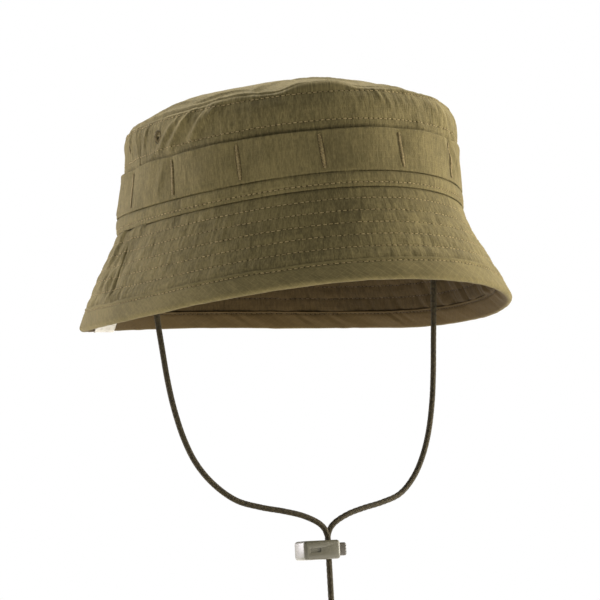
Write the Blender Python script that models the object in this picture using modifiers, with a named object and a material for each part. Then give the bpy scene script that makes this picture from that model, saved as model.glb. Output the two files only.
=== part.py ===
"""Short-brim boonie hat with a chin cord and a sliding cord lock.

Metres, +Z up. The origin is the centre of the head opening, in the plane of the
seam between crown and brim. The front of the hat faces -Y and the wearer's
right is -X. Each sewn ply, band, thread bar, cord and plastic piece is its own
closed solid, and neighbours keep a gap of a few tenths of a millimetre.
"""

import math

import bmesh
import bpy
from mathutils import Matrix, Vector

MM = 0.001

# Head opening and crown, for a 58 cm head
HALF_WIDTH = 86.5 * MM           # outside of the crown at the seam, across X
HALF_LENGTH = 104.0 * MM         # outside of the crown at the seam, along Y
WALL_HEIGHT = 51.5 * MM          # seam up to the tip seam
WALL_TAPER = 2.4 * MM            # how much the wall leans in over its height
SHOULDER_HEIGHT = 10.0 * MM      # top stretch of the wall, which rounds over
SHOULDER_INSET = 4.0 * MM
TIP_RISE = 16.0 * MM             # dome of the tip above the tip seam
TIP_FLAT_SHARE = 0.30            # middle of the tip, which is flat
SEAM_SADDLE = 3.6 * MM           # the seam dips this much at the sides
SADDLE_FADE = 120.0 * MM         # height over which the dip dies out

# Brim
BRIM_SLANT = 53.0 * MM           # seam to edge of the plies, along the brim
BRIM_FLARE = math.radians(24.8)  # from the vertical
FLARE_SWING = math.radians(3.6)  # flatter at front and rear than at the sides
FLARE_REAR = math.radians(1.2)
BINDING_LEG = 9.8 * MM

# Cloth
PLY = 0.7 * MM
GAP = 0.35 * MM
WALL_CLOTH = 0.8 * MM
STIFFENER = 0.8 * MM
SWEATBAND_CLOTH = 1.2 * MM

# Levels on the crown wall, above the seam
SEAM_BAND_TOP = 7.2 * MM
LOOP_BAND_BOTTOM = 7.7 * MM
LOOP_BAND_TOP = 29.3 * MM
LOOP_STAND = 2.2 * MM            # how far a foliage loop stands off the wall
SWEATBAND_TOP = 31.0 * MM
FACING_BOTTOM = 33.6 * MM
FACING_TOP = 48.6 * MM
EYELET_HEIGHT = 41.5 * MM

# Repeats around the hat
LOOPS = 14
COLUMNS = LOOPS * 4
SIDE_LEFT = COLUMNS // 4         # column of the side seam, wearer's left
SIDE_RIGHT = 3 * COLUMNS // 4
LOOP_START = 1.375               # column of the first bartack
BARTACK_LENGTH = 16.5 * MM
BARTACK_WIDTH = 1.8 * MM
EYELET_BARREL = 1.9 * MM
EYELET_BORE = 1.3 * MM
EYELET_FLANGE = 3.2 * MM
EYELET_SLACK = 0.5 * MM          # extra grip length, because the wall bends behind the lip
EYELET_COLUMNS = 2               # from the side seam to each eyelet

# Chin cord: the route of one half, from its tab to the knot, with X outwards
CORD_DIAMETER = 3.0 * MM
CORD_PITCH = 7.5 * MM
LOCK_PLACE = Vector((2.0, -21.5, -173.9)) * MM
STRAND_SHIFT = Vector((0.76, 1.43, 0.0)) * MM    # each strand beside the lock's middle
STRANDS_APART = -125.0 * MM                      # above this the halves mirror each other
STRANDS_TOGETHER = -163.0 * MM                   # below this they run side by side
KNOT_TOP = -239.0 * MM
CORD_ROUTE = [
    (82.4, -4.0, -16.2), (82.1, -4.3, -26.0), (81.1, -4.9, -40.0), (79.9, -5.6, -54.0),
    (78.5, -6.3, -68.0), (76.8, -7.2, -84.0), (74.4, -8.4, -99.0), (70.6, -9.9, -114.0),
    (65.2, -11.7, -127.0), (57.6, -13.8, -138.0), (47.5, -15.9, -146.5),
    (35.5, -18.0, -150.6), (23.5, -19.8, -153.2), (13.0, -21.0, -156.2),
    (4.4, -21.5, -160.8), (0.95, -21.5, -166.4), (0.76, -21.5, -174.0),
    (0.76, -21.5, -188.0), (0.76, -21.5, -204.0), (0.76, -21.5, -221.0),
    (0.76, -21.5, -238.65),
]
KNOT_HALF = Vector((4.8, 5.2, 5.0)) * MM
TIP_LENGTH = 11.0 * MM

# Cord lock: the body is a sleeve that is open at +X, where the button sits
LOCK_LEFT = -16.6 * MM
LOCK_RIGHT = 4.2 * MM
LOCK_WIDTH = 13.0 * MM
LOCK_THICK = 9.8 * MM
SLEEVE_WALL = 1.2 * MM
CAVITY_END = -15.2 * MM
SLIDE_GAP = 0.3 * MM
SLOT_HALF_X = 2.6 * MM
SLOT_HALF_Y = 3.35 * MM
BUTTON_LEFT = -7.4 * MM
BUTTON_RIGHT = 8.2 * MM
BUTTON_TRAVEL = 3.0 * MM
SPRING_RADIUS = 2.4 * MM
SPRING_WIRE = 0.5 * MM
SPRING_TURNS = 4.5

# Care label and cord tabs
LABEL_WIDTH = 34.0 * MM
LABEL_LENGTH = 52.0 * MM
LABEL_CLOTH = 0.5 * MM
LABEL_DROP = 1.5 * MM            # its top edge, below the seam
LABEL_COLUMN = 34.2              # at the rear on the wearer's right
TAB_SIZE = Vector((2.2, 11.0, 17.5)) * MM
TAB_PLACE = Vector((82.4, -4.0, -7.1)) * MM


def clear_scene():
    for thing in list(bpy.data.objects):
        bpy.data.objects.remove(thing)


def make_collection(name):
    collection = bpy.data.collections.new(name)
    bpy.context.scene.collection.children.link(collection)
    return collection


def make_material(name, color, roughness, metallic=0.0):
    material = bpy.data.materials.new(name)
    material.use_nodes = True
    shader = material.node_tree.nodes["Principled BSDF"]
    shader.inputs["Base Color"].default_value = (*color, 1.0)
    shader.inputs["Roughness"].default_value = roughness
    shader.inputs["Metallic"].default_value = metallic
    return material


FINISHES = {
    "shell": ((0.105, 0.088, 0.036), 0.85),
    "underside": ((0.075, 0.058, 0.026), 0.88),
    "inner": ((0.16, 0.15, 0.10), 0.9),
    "thread": ((0.21, 0.16, 0.075), 0.7),
    "cord": ((0.040, 0.032, 0.013), 0.75),
    "plastic": ((0.085, 0.080, 0.052), 0.45),
    "label": ((0.72, 0.70, 0.62), 0.6),
}


def finish(obj, slot):
    """Give a node its own material, in the colour of its slot."""
    color, roughness = FINISHES[slot]
    obj.data.materials.clear()
    obj.data.materials.append(make_material(obj.name + "_finish", color, roughness))
    return obj


def finish_metal(obj, color, roughness):
    obj.data.materials.clear()
    obj.data.materials.append(make_material(obj.name + "_finish", color, roughness, 1.0))
    return obj


# ---------------------------------------------------------------- hat surfaces

def column_angles():
    """The ellipse angle of each column: equal steps along the seam, from the front."""
    fine = 2880
    lengths = [0.0]
    for step in range(fine):
        angle = math.tau * (step + 0.5) / fine
        run = math.hypot(HALF_WIDTH * math.cos(angle), HALF_LENGTH * math.sin(angle))
        lengths.append(lengths[-1] + run)
    angles = []
    step = 0
    for column in range(COLUMNS + 1):
        target = lengths[-1] * column / COLUMNS
        while step < fine and lengths[step + 1] < target:
            step += 1
        share = (target - lengths[step]) / (lengths[step + 1] - lengths[step])
        angles.append(math.tau * (step + share) / fine)
    return angles


ANGLES = column_angles()
COLUMN_PITCH = (HALF_WIDTH + HALF_LENGTH) * math.pi / COLUMNS


def angle_at(column):
    """The ellipse angle at a column, which may be a fraction and may pass a full turn."""
    turns, place = divmod(column, COLUMNS)
    low = int(place)
    share = place - low
    return ANGLES[low] * (1 - share) + ANGLES[low + 1] * share + math.tau * turns


def outward(angle):
    """The horizontal direction that points out of the seam ellipse."""
    return Vector((math.sin(angle) / HALF_WIDTH, -math.cos(angle) / HALF_LENGTH, 0)).normalized()


def saddle(angle, height):
    return SEAM_SADDLE * math.cos(2 * angle) * (1 - height / SADDLE_FADE)


def wall_inset(height):
    """How far the crown wall has leaned in at a height."""
    rounding = max(0.0, (height - WALL_HEIGHT + SHOULDER_HEIGHT) / SHOULDER_HEIGHT)
    return WALL_TAPER * height / WALL_HEIGHT + SHOULDER_INSET * rounding ** 2


def crown_point(column, height, offset=0.0):
    """A point on the crown wall, offset outwards from its outer face."""
    angle = angle_at(column)
    spread = offset - wall_inset(height)
    return Vector((
        (HALF_WIDTH + spread) * math.sin(angle),
        -(HALF_LENGTH + spread) * math.cos(angle),
        height + saddle(angle, height),
    ))


def brim_point(column, slant, offset=0.0):
    """A point on the brim, offset outwards from its outer face."""
    angle = angle_at(column)
    flare = BRIM_FLARE + FLARE_SWING * math.cos(2 * angle) - FLARE_REAR * math.cos(angle)
    level = outward(angle)
    down = level * math.sin(flare) - Vector((0, 0, math.cos(flare)))
    out = level * math.cos(flare) + Vector((0, 0, math.sin(flare)))
    base = Vector((HALF_WIDTH * math.sin(angle), -HALF_LENGTH * math.cos(angle), saddle(angle, 0)))
    return base + down * slant + out * offset


def tip_point(column, share, offset=0.0):
    """A point on the domed tip: share 1 is at the tip seam and 0 at the middle."""
    angle = angle_at(column)
    spread = offset - wall_inset(WALL_HEIGHT)
    rise = TIP_RISE * (1 - max(share, TIP_FLAT_SHARE) ** 3)
    dip = saddle(angle, WALL_HEIGHT) * share ** 4 if share > TIP_FLAT_SHARE else 0.0
    return Vector((
        (HALF_WIDTH + spread) * share * math.sin(angle),
        -(HALF_LENGTH + spread) * share * math.cos(angle),
        WALL_HEIGHT + rise + dip + offset,
    ))


# ------------------------------------------------------------------- builders

def add_object(name, mesh, collection):
    obj = bpy.data.objects.new(name, mesh)
    collection.objects.link(obj)
    return obj


def grid_mesh(name, rows, ring):
    """A sheet through rows of points, wound so that it faces outwards; a ring closes it."""
    shape = bmesh.new()
    verts = [[shape.verts.new(point) for point in row] for row in rows]
    across = len(rows[0])
    for low, high in zip(verts, verts[1:]):
        for place in range(across if ring else across - 1):
            after = (place + 1) % across
            shape.faces.new((low[place], low[after], high[after], high[place]))
    mesh = bpy.data.meshes.new(name)
    shape.to_mesh(mesh)
    shape.free()
    return mesh


def cloth(name, rows, thickness, slot, ring=True):
    """A ply of cloth: the outer face is the sheet, and the thickness goes inwards."""
    obj = add_object(name, grid_mesh(name, rows, ring), hat)
    solid = obj.modifiers.new("thickness", "SOLIDIFY")
    solid.thickness = thickness
    solid.offset = -1.0
    solid.use_even_offset = True
    obj.data.shade_smooth()
    obj.data.set_sharp_from_angle(angle=math.radians(45))
    return finish(obj, slot)


def around(point, level, offset):
    """One row of points all the way round."""
    return [point(column, level, offset) for column in range(COLUMNS)]


def half_way(point, level, offset, first):
    """One row of points from one side seam to the other, kept just short of both."""
    trim = 0.018
    columns = list(range(first, first + COLUMNS // 2 + 1))
    columns[0] += trim
    columns[-1] -= trim
    return [point(column, level, offset) for column in columns]


def turned(name, profile, place, axis, steps, slot):
    """A round piece: a closed profile of (radius, height) pairs, turned about an axis."""
    shape = bmesh.new()
    verts = [shape.verts.new((radius, 0, height)) for radius, height in profile]
    for start, end in zip(verts, verts[1:] + verts[:1]):
        shape.edges.new((start, end))
    mesh = bpy.data.meshes.new(name)
    shape.to_mesh(mesh)
    shape.free()
    obj = add_object(name, mesh, hat)
    screw = obj.modifiers.new("turn", "SCREW")
    screw.axis = "Z"
    screw.steps = steps
    screw.render_steps = steps
    screw.use_merge_vertices = True
    screw.merge_threshold = 0.00001
    obj.matrix_world = Matrix.Translation(place) @ axis.to_track_quat("Z", "Y").to_matrix().to_4x4()
    return finish(obj, slot)


def block(name, size, place, slot, bevel=0.0, segments=2, collection=None):
    """A box of a given size, with its edges rounded."""
    shape = bmesh.new()
    bmesh.ops.create_cube(shape, size=1.0)
    bmesh.ops.scale(shape, vec=size, verts=shape.verts)
    mesh = bpy.data.meshes.new(name)
    shape.to_mesh(mesh)
    shape.free()
    obj = add_object(name, mesh, collection or hat)
    obj.location = place
    if bevel:
        rounding = obj.modifiers.new("rounding", "BEVEL")
        rounding.width = bevel
        rounding.segments = segments
    if slot:
        finish(obj, slot)
    return obj


def cut(obj, cutter):
    """Take a cutter's shape out of a piece."""
    cutter.hide_render = True
    cutter.display_type = "WIRE"
    boolean = obj.modifiers.new("cut_" + cutter.name, "BOOLEAN")
    boolean.operation = "DIFFERENCE"
    boolean.solver = "EXACT"
    boolean.object = cutter


def peg(name, radius, length, place, axis):
    """A round cutter."""
    shape = bmesh.new()
    bmesh.ops.create_cone(
        shape, cap_ends=True, segments=16, radius1=radius, radius2=radius, depth=length)
    mesh = bpy.data.meshes.new(name)
    shape.to_mesh(mesh)
    shape.free()
    obj = add_object(name, mesh, cutters)
    obj.matrix_world = Matrix.Translation(place) @ axis.to_track_quat("Z", "Y").to_matrix().to_4x4()
    return obj


def tube(name, points, radius, slot):
    """A round wire or cord through points, with closed ends."""
    curve = bpy.data.curves.new(name, "CURVE")
    curve.dimensions = "3D"
    curve.bevel_depth = radius
    curve.bevel_resolution = 2
    curve.use_fill_caps = True
    line = curve.splines.new("POLY")
    line.points.add(len(points) - 1)
    for knot, point in zip(line.points, points):
        knot.co = (*point, 1.0)
    obj = bpy.data.objects.new(name, curve)
    hat.objects.link(obj)
    return finish(obj, slot)


def smooth_line(route, pitch):
    """Evenly spaced points on a smooth curve through the points of a route."""
    ends = [route[0] * 2 - route[1]] + route + [route[-1] * 2 - route[-2]]
    fine = []
    for first, start, end, last in zip(ends, ends[1:], ends[2:], ends[3:]):
        for step in range(12):
            t = step / 12
            fine.append(0.5 * (
                2 * start + (end - first) * t
                + (2 * first - 5 * start + 4 * end - last) * t ** 2
                + (3 * start - first - 3 * end + last) * t ** 3))
    fine.append(route[-1])
    lengths = [0.0]
    for start, end in zip(fine, fine[1:]):
        lengths.append(lengths[-1] + (end - start).length)
    count = round(lengths[-1] / pitch)
    points = []
    step = 0
    for place in range(count + 1):
        target = lengths[-1] * place / count
        while step < len(fine) - 2 and lengths[step + 1] < target:
            step += 1
        share = (target - lengths[step]) / (lengths[step + 1] - lengths[step])
        points.append(fine[step].lerp(fine[step + 1], share))
    return points


# --------------------------------------------------------------------- crown

def build_crown():
    """The tip and the two halves of the wall, which meet at the side seams."""
    shoulder = WALL_HEIGHT - SHOULDER_HEIGHT
    levels = [GAP / 2, shoulder]
    levels += [shoulder + SHOULDER_HEIGHT * share for share in (0.4, 0.7, 0.96)]
    front = cloth(
        "crown_side_front",
        [half_way(crown_point, level, 0, SIDE_RIGHT) for level in levels],
        WALL_CLOTH, "shell", ring=False)
    rear = cloth(
        "crown_side_rear",
        [half_way(crown_point, level, 0, SIDE_LEFT) for level in levels],
        WALL_CLOTH, "shell", ring=False)
    shares = [1.0, 0.94, 0.82, 0.62, TIP_FLAT_SHARE]
    rows = [around(tip_point, share, 0) for share in shares]
    tip = cloth("crown_top", rows, PLY, "shell")
    shape = bmesh.new()
    shape.from_mesh(tip.data)
    shape.faces.new([shape.verts[i] for i in tip_middle(shape)])
    shape.to_mesh(tip.data)
    shape.free()
    return front, rear


def tip_middle(shape):
    """The indices of the innermost ring of the tip, in order."""
    shape.verts.ensure_lookup_table()
    return range(len(shape.verts) - COLUMNS, len(shape.verts))


def build_facing():
    """The inner strip that backs the vent eyelets, between two rows of stitching."""
    levels = [FACING_BOTTOM, EYELET_HEIGHT + EYELET_FLANGE, FACING_TOP]
    offset = -WALL_CLOTH - GAP
    rows = [around(crown_point, level, offset) for level in levels]
    return cloth("eyelet_facing", rows, PLY, "inner")


def build_eyelets(front, rear, facing):
    """Four embroidered vent eyelets, each a thread ring through wall and facing."""
    inside = -(WALL_CLOTH + GAP + PLY)
    low = inside - GAP - EYELET_SLACK
    high = GAP
    lip = 0.5 * MM
    profile = [
        (EYELET_BORE, high + lip), (EYELET_FLANGE - 0.4 * MM, high + lip), (EYELET_FLANGE, high),
        (EYELET_BARREL, high), (EYELET_BARREL, low),
        (EYELET_FLANGE, low), (EYELET_FLANGE - 0.4 * MM, low - lip), (EYELET_BORE, low - lip),
    ]
    for side, seam, turn in (("left", SIDE_LEFT, -1), ("right", SIDE_RIGHT, 1)):
        for end, wall, way in (("front", front, turn), ("rear", rear, -turn)):
            column = seam + way * EYELET_COLUMNS
            place = crown_point(column, EYELET_HEIGHT)
            above = crown_point(column, EYELET_HEIGHT + MM)
            level = outward(angle_at(column))
            axis = (level - (above - place).normalized() * level.dot(above - place) / MM)
            axis.normalize()
            name = "eyelet_" + side + "_" + end
            turned(name, profile, place, axis, 12, "thread")
            hole = peg("hole_" + name, EYELET_BARREL + GAP, 8 * MM, place, axis)
            cut(wall, hole)
            cut(facing, hole)


def loop_stand(column):
    """How far the foliage band stands off at a column: 0 at a bartack, 1 mid loop."""
    share = ((column - LOOP_START) % 4) / 4
    return math.sin(math.pi * share) ** 0.6


def build_bands():
    """The seam band, the band of foliage loops and the sweatband."""
    rows = [around(crown_point, level, GAP + PLY) for level in (GAP, SEAM_BAND_TOP)]
    cloth("seam_band", rows, PLY, "shell")

    rows = []
    columns = [LOOP_START + step for step in range(COLUMNS)]
    for share in (0.0, 0.3, 0.65, 1.0):
        level = LOOP_BAND_BOTTOM + share * (LOOP_BAND_TOP - LOOP_BAND_BOTTOM)
        rows.append([
            crown_point(column, level, GAP + PLY + LOOP_STAND * loop_stand(column) * share ** 0.6)
            for column in columns])
    cloth("loop_band", rows, PLY, "shell")

    levels = (GAP, SWEATBAND_TOP / 2, SWEATBAND_TOP)
    rows = [around(crown_point, level, -WALL_CLOTH - GAP) for level in levels]
    cloth("sweatband", rows, SWEATBAND_CLOTH, "inner")


def build_bartacks():
    """Thread bars that sew the foliage band to the wall between its loops."""
    middle = (LOOP_BAND_BOTTOM + LOOP_BAND_TOP) / 2
    height = 0.7 * MM
    for place in range(LOOPS):
        column = 4 * place + LOOP_START
        spot = crown_point(column, middle, 2 * GAP + PLY + height / 2)
        low = crown_point(column, middle - 5 * MM)
        high = crown_point(column, middle + 5 * MM)
        up = (high - low).normalized()
        out = outward(angle_at(column))
        out = (out - up * out.dot(up)).normalized()
        side = up.cross(out)
        size = Vector((BARTACK_WIDTH, height, BARTACK_LENGTH))
        name = "bartack_{:02d}".format(place + 1)
        bar = block(name, size, (0, 0, 0), "thread", bevel=0.25 * MM, segments=1)
        turn = Matrix((side, -out, up)).transposed().to_4x4()
        bar.matrix_world = Matrix.Translation(spot) @ turn


# ---------------------------------------------------------------------- brim

def build_brim():
    """Upper and lower plies in halves, the stiffener between them, and the binding."""
    slants = [BRIM_SLANT, BRIM_SLANT / 2, GAP / 2]
    layers = [
        ("brim_upper", 0.0, PLY, "shell"),
        ("brim_lower", -(PLY + STIFFENER + 2 * GAP), PLY, "underside"),
    ]
    for name, offset, thickness, slot in layers:
        for end, first in (("front", SIDE_RIGHT), ("rear", SIDE_LEFT)):
            rows = [half_way(brim_point, slant, offset, first) for slant in slants]
            cloth(name + "_" + end, rows, thickness, slot, ring=False)
    rows = [around(brim_point, slant, -PLY - GAP) for slant in slants]
    cloth("brim_stiffener", rows, STIFFENER, "inner")

    stack = 2 * PLY + STIFFENER + 2 * GAP
    reach = GAP + PLY
    radius = stack / 2 + reach
    profile = [(BRIM_SLANT - BINDING_LEG, -stack - reach)]
    for step in range(5):
        turn = math.pi * step / 4
        along = BRIM_SLANT + 0.1 * MM + radius * 0.75 * math.sin(turn)
        profile.append((along, -stack / 2 - radius * math.cos(turn)))
    profile.append((BRIM_SLANT - BINDING_LEG, reach))
    rows = [around(brim_point, slant, offset) for slant, offset in profile]
    cloth("brim_binding", rows, PLY, "shell")


def build_label():
    """The care label, sewn in under the sweatband and hanging against the under ply."""
    inside = -(3 * PLY + STIFFENER + 5 * GAP)
    spread = math.tau * math.sin(BRIM_FLARE) / COLUMNS
    rows = []
    for share in (1.0, 0.75, 0.5, 0.25, 0.0):
        slant = LABEL_DROP + share * LABEL_LENGTH
        reach = LABEL_WIDTH / 2 / (COLUMN_PITCH + slant * spread)
        columns = [LABEL_COLUMN + reach * place for place in (-1, -0.5, 0, 0.5, 1)]
        rows.append([brim_point(column, slant, inside) for column in columns])
    cloth("care_label", rows, LABEL_CLOTH, "label", ring=False)


# ----------------------------------------------------------------- chin cord

def strand(point, side):
    """A route point on one side: -1 is the wearer's right and +1 the left."""
    x, y, z = Vector(point) * MM
    share = (STRANDS_APART - z) / (STRANDS_APART - STRANDS_TOGETHER)
    share = min(1.0, max(0.0, share))
    together = share * share * (3 - 2 * share)
    return Vector((side * x + LOCK_PLACE.x * together, y + side * STRAND_SHIFT.y * together, z))


def build_cords():
    """One cord from each tab, through the lock, to the knot that joins them."""
    for name, side in (("right", -1), ("left", 1)):
        place = Vector((side * TAB_PLACE.x, TAB_PLACE.y, TAB_PLACE.z))
        block("cord_tab_" + name, TAB_SIZE, place, "shell", bevel=0.5 * MM)
        route = [strand(point, side) for point in CORD_ROUTE]
        tube("chin_cord_" + name, smooth_line(route, CORD_PITCH), CORD_DIAMETER / 2, "cord")
        foot = LOCK_PLACE + STRAND_SHIFT * side
        top = KNOT_TOP - 2 * KNOT_HALF.z - GAP
        ends = [Vector((foot.x, foot.y, top)), Vector((foot.x, foot.y, top - TIP_LENGTH))]
        tube("cord_tip_" + name, ends, CORD_DIAMETER / 2, "cord")
    knot_place = Vector((LOCK_PLACE.x, LOCK_PLACE.y, KNOT_TOP - KNOT_HALF.z))
    block("cord_knot", KNOT_HALF * 2, knot_place, "cord", bevel=3.2 * MM, segments=3)


def build_lock():
    """The sleeve, the sprung button in it and the slot for both strands."""
    middle = (LOCK_LEFT + LOCK_RIGHT) / 2
    size = Vector((LOCK_RIGHT - LOCK_LEFT, LOCK_WIDTH, LOCK_THICK))
    body = block("lock_body", size, LOCK_PLACE + Vector((middle, 0, 0)), "plastic", 1.6 * MM, 3)

    inner = Vector((0, LOCK_WIDTH - 2 * SLEEVE_WALL, LOCK_THICK - 2 * SLEEVE_WALL))
    mouth = LOCK_RIGHT + 5 * MM
    room = block(
        "sleeve_room", inner + Vector((mouth - CAVITY_END, 0, 0)),
        LOCK_PLACE + Vector(((CAVITY_END + mouth) / 2, 0, 0)), None, collection=cutters)
    cut(body, room)
    slot = Vector((2 * SLOT_HALF_X, 2 * SLOT_HALF_Y, 2 * LOCK_THICK))
    passage = block("strand_passage", slot, LOCK_PLACE, None, collection=cutters)
    cut(body, passage)

    size = inner - Vector((0, 2 * SLIDE_GAP, 2 * SLIDE_GAP))
    size.x = BUTTON_RIGHT - BUTTON_LEFT
    centre = LOCK_PLACE + Vector(((BUTTON_LEFT + BUTTON_RIGHT) / 2, 0, 0))
    button = block("lock_button", size, centre, "plastic", 1.0 * MM, 2)
    slot.x += BUTTON_TRAVEL
    gate = block(
        "button_passage", slot, LOCK_PLACE + Vector((BUTTON_TRAVEL / 2, 0, 0)), None,
        collection=cutters)
    cut(button, gate)

    start = CAVITY_END + GAP + SPRING_WIRE / 2
    length = BUTTON_LEFT - GAP - SPRING_WIRE / 2 - start
    points = []
    steps = round(SPRING_TURNS * 10)
    for step in range(steps + 1):
        turn = math.tau * SPRING_TURNS * step / steps
        across = Vector((0, math.cos(turn), math.sin(turn))) * SPRING_RADIUS
        points.append(LOCK_PLACE + across + Vector((start + length * step / steps, 0, 0)))
    spring = tube("lock_spring", points, SPRING_WIRE / 2, "plastic")
    finish_metal(spring, (0.6, 0.6, 0.6), 0.3)


clear_scene()
hat = make_collection("boonie_hat")
cutters = make_collection("cutters")
crown_front, crown_rear = build_crown()
eyelet_facing = build_facing()
build_eyelets(crown_front, crown_rear, eyelet_facing)
build_bands()
build_bartacks()
build_brim()
build_label()
build_cords()
build_lock()
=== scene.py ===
"""The looks of a short-brim boonie hat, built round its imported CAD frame.

Metres, +Z up, the front of the hat towards -Y. Cloth is laid out on the seam's arc
length, "s", which starts at the front and runs towards +X, and on a height or a
slant. Each ply is a closed shell with its folds, puckers and stitches as geometry.
"""
import math

import bmesh
import bpy
import numpy as np
from mathutils import Matrix, Vector


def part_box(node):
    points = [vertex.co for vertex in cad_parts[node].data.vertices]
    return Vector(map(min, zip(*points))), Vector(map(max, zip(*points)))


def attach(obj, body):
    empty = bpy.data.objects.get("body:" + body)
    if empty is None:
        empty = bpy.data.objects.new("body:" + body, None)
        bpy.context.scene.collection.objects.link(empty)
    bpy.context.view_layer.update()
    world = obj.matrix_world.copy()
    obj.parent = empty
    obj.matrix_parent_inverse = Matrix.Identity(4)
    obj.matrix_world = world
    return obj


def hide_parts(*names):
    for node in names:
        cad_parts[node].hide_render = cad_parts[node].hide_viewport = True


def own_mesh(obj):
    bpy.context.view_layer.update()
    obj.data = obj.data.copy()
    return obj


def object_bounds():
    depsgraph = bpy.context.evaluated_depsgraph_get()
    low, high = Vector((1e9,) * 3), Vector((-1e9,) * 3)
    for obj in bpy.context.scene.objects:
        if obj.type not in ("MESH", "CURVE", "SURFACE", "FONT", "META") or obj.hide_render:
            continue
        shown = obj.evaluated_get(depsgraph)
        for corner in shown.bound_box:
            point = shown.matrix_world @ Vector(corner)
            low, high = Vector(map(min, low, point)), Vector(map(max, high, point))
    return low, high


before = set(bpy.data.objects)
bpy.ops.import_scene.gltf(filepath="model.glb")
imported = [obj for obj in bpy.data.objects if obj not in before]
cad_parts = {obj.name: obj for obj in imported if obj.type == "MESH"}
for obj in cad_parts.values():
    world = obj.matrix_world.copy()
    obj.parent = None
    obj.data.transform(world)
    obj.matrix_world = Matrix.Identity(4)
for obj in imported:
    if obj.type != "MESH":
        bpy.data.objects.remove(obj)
CAD_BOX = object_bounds()
MM = 0.001

# ------------------------------------------------------------- sizes of the hat

front_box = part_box("crown_side_front")
HALF_WIDTH = front_box[1].x                 # seam ellipse, outside of the wall
HALF_LENGTH = -front_box[0].y
WALL_HEIGHT = 51.5 * MM                     # seam to tip seam
WALL_TAPER = 2.4 * MM
SHOULDER_HEIGHT = 10.0 * MM
SHOULDER_INSET = 4.0 * MM
TIP_RISE = 16.0 * MM
SEAM_SADDLE = 3.6 * MM
SADDLE_FADE = 120.0 * MM
BRIM_SLANT = 53.0 * MM
BRIM_FLARE = math.radians(24.8)
FLARE_SWING = math.radians(3.6)
FLARE_REAR = math.radians(1.2)

PLY = 0.7 * MM
GAP = 0.35 * MM
WALL_CLOTH = 0.8 * MM
STIFFENER = 0.8 * MM
SEAM_BAND_BOTTOM = -0.3 * MM
SEAM_BAND_TOP = 6.9 * MM
LOOP_BAND_BOTTOM = 8.1 * MM
LOOP_BAND_TOP = 29.3 * MM
LOOP_STAND = 1.5 * MM
SWEATBAND_TOP = 31.0 * MM
SWEATBAND_ROW = SWEATBAND_TOP - 2 * MM
SWEATBAND_CLOTH = 1.2 * MM
BINDING_LEG = 9.6 * MM
BARTACK_LENGTH = 17.8 * MM
LOOPS = 14

EDGE_TO_ROW = 1.6 * MM                      # from the edge of a tape to its stitching
WALL_ROWS = [34.6 * MM, 49.4 * MM]          # heights of the wall's stitching
BRIM_ROWS = [(7.4 + 7.15 * row) * MM for row in range(5)]   # slants
BINDING_ROW = BRIM_SLANT - BINDING_LEG + EDGE_TO_ROW
BAND_ROW = EDGE_TO_ROW
STITCH_PITCH = 2.8 * MM
SEAM_TRIM = 0.1 * MM                        # each half stops this short of its side seam

AROUND = 960              # columns of a fine shell, all the way round
GRAIN = 0.75 * MM    # row pitch of a fine shell


def seam_table(steps=5760):
    """Ellipse angles and the arc length from the front to each."""
    angle = np.linspace(0, math.tau, steps + 1)
    middle = (angle[1:] + angle[:-1]) / 2
    step = np.hypot(HALF_WIDTH * np.cos(middle), HALF_LENGTH * np.sin(middle)) * math.tau / steps
    return angle, np.concatenate([[0.0], np.cumsum(step)])


ANGLE_TABLE, ARC_TABLE = seam_table()
ROUND = float(ARC_TABLE[-1])                # the seam's length, all the way round
LOOP_PITCH = ROUND / LOOPS
FIRST_BARTACK = 1.375 / 4 * LOOP_PITCH


# ------------------------------------------------------------------ hat surfaces

def seam_angle(s):
    turns = np.floor(s / ROUND)
    return np.interp(s - turns * ROUND, ARC_TABLE, ANGLE_TABLE) + turns * math.tau


def outward(angle):
    """The horizontal direction that points out of the seam ellipse."""
    x, y = np.sin(angle) / HALF_WIDTH, -np.cos(angle) / HALF_LENGTH
    length = np.hypot(x, y)
    return np.stack([x / length, y / length, 0 * x], -1)


def saddle(angle, height):
    return SEAM_SADDLE * np.cos(2 * angle) * (1 - height / SADDLE_FADE)


def wall_inset(height):
    rounding = np.maximum(0, (height - WALL_HEIGHT + SHOULDER_HEIGHT) / SHOULDER_HEIGHT)
    return WALL_TAPER * height / WALL_HEIGHT + SHOULDER_INSET * rounding ** 2


def around(s, place):
    """The shortest way round from a place on the seam to s."""
    return np.mod(s - place + ROUND / 2, ROUND) - ROUND / 2


def share_of(value, low, high):
    """0 at low and below, 1 at high and above, even between."""
    return np.clip((value - low) / (high - low), 0, 1)


def ease(value, low, high):
    """0 below low, 1 above high, smooth between."""
    share = share_of(value, low, high)
    return share * share * (3 - 2 * share)


def bell(x, width):
    """1 at x = 0, and close to 0 two widths away."""
    return np.exp(-(x / width) ** 2)


def near(s, place, width):
    """1 at a place on the seam, falling to 0 round it. Place and width are in millimetres."""
    return bell(around(s, place * MM), width * MM)


def crown_lean(s, height):
    """How the worn crown departs from an even taper: it leans in at the rear right
    and keeps a full shoulder at the front left."""
    inward = ease(height, 4 * MM, 34 * MM) * (1 - 0.55 * ease(height, 40 * MM, 51 * MM))
    return -3.6 * MM * near(s, -185, 75) * inward \
        + 1.6 * MM * near(s, 105, 55) * ease(height, 22 * MM, 42 * MM)


def seam_lift(s):
    """How far the puffed edge along the tip seam stands above its level line."""
    return 3.4 * MM * np.exp(-(around(s, -27 * MM) / (17 * MM)) ** 4) \
        + 1.5 * MM * near(s, -75, 16) + 1.0 * MM * near(s, 20, 9)


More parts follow.
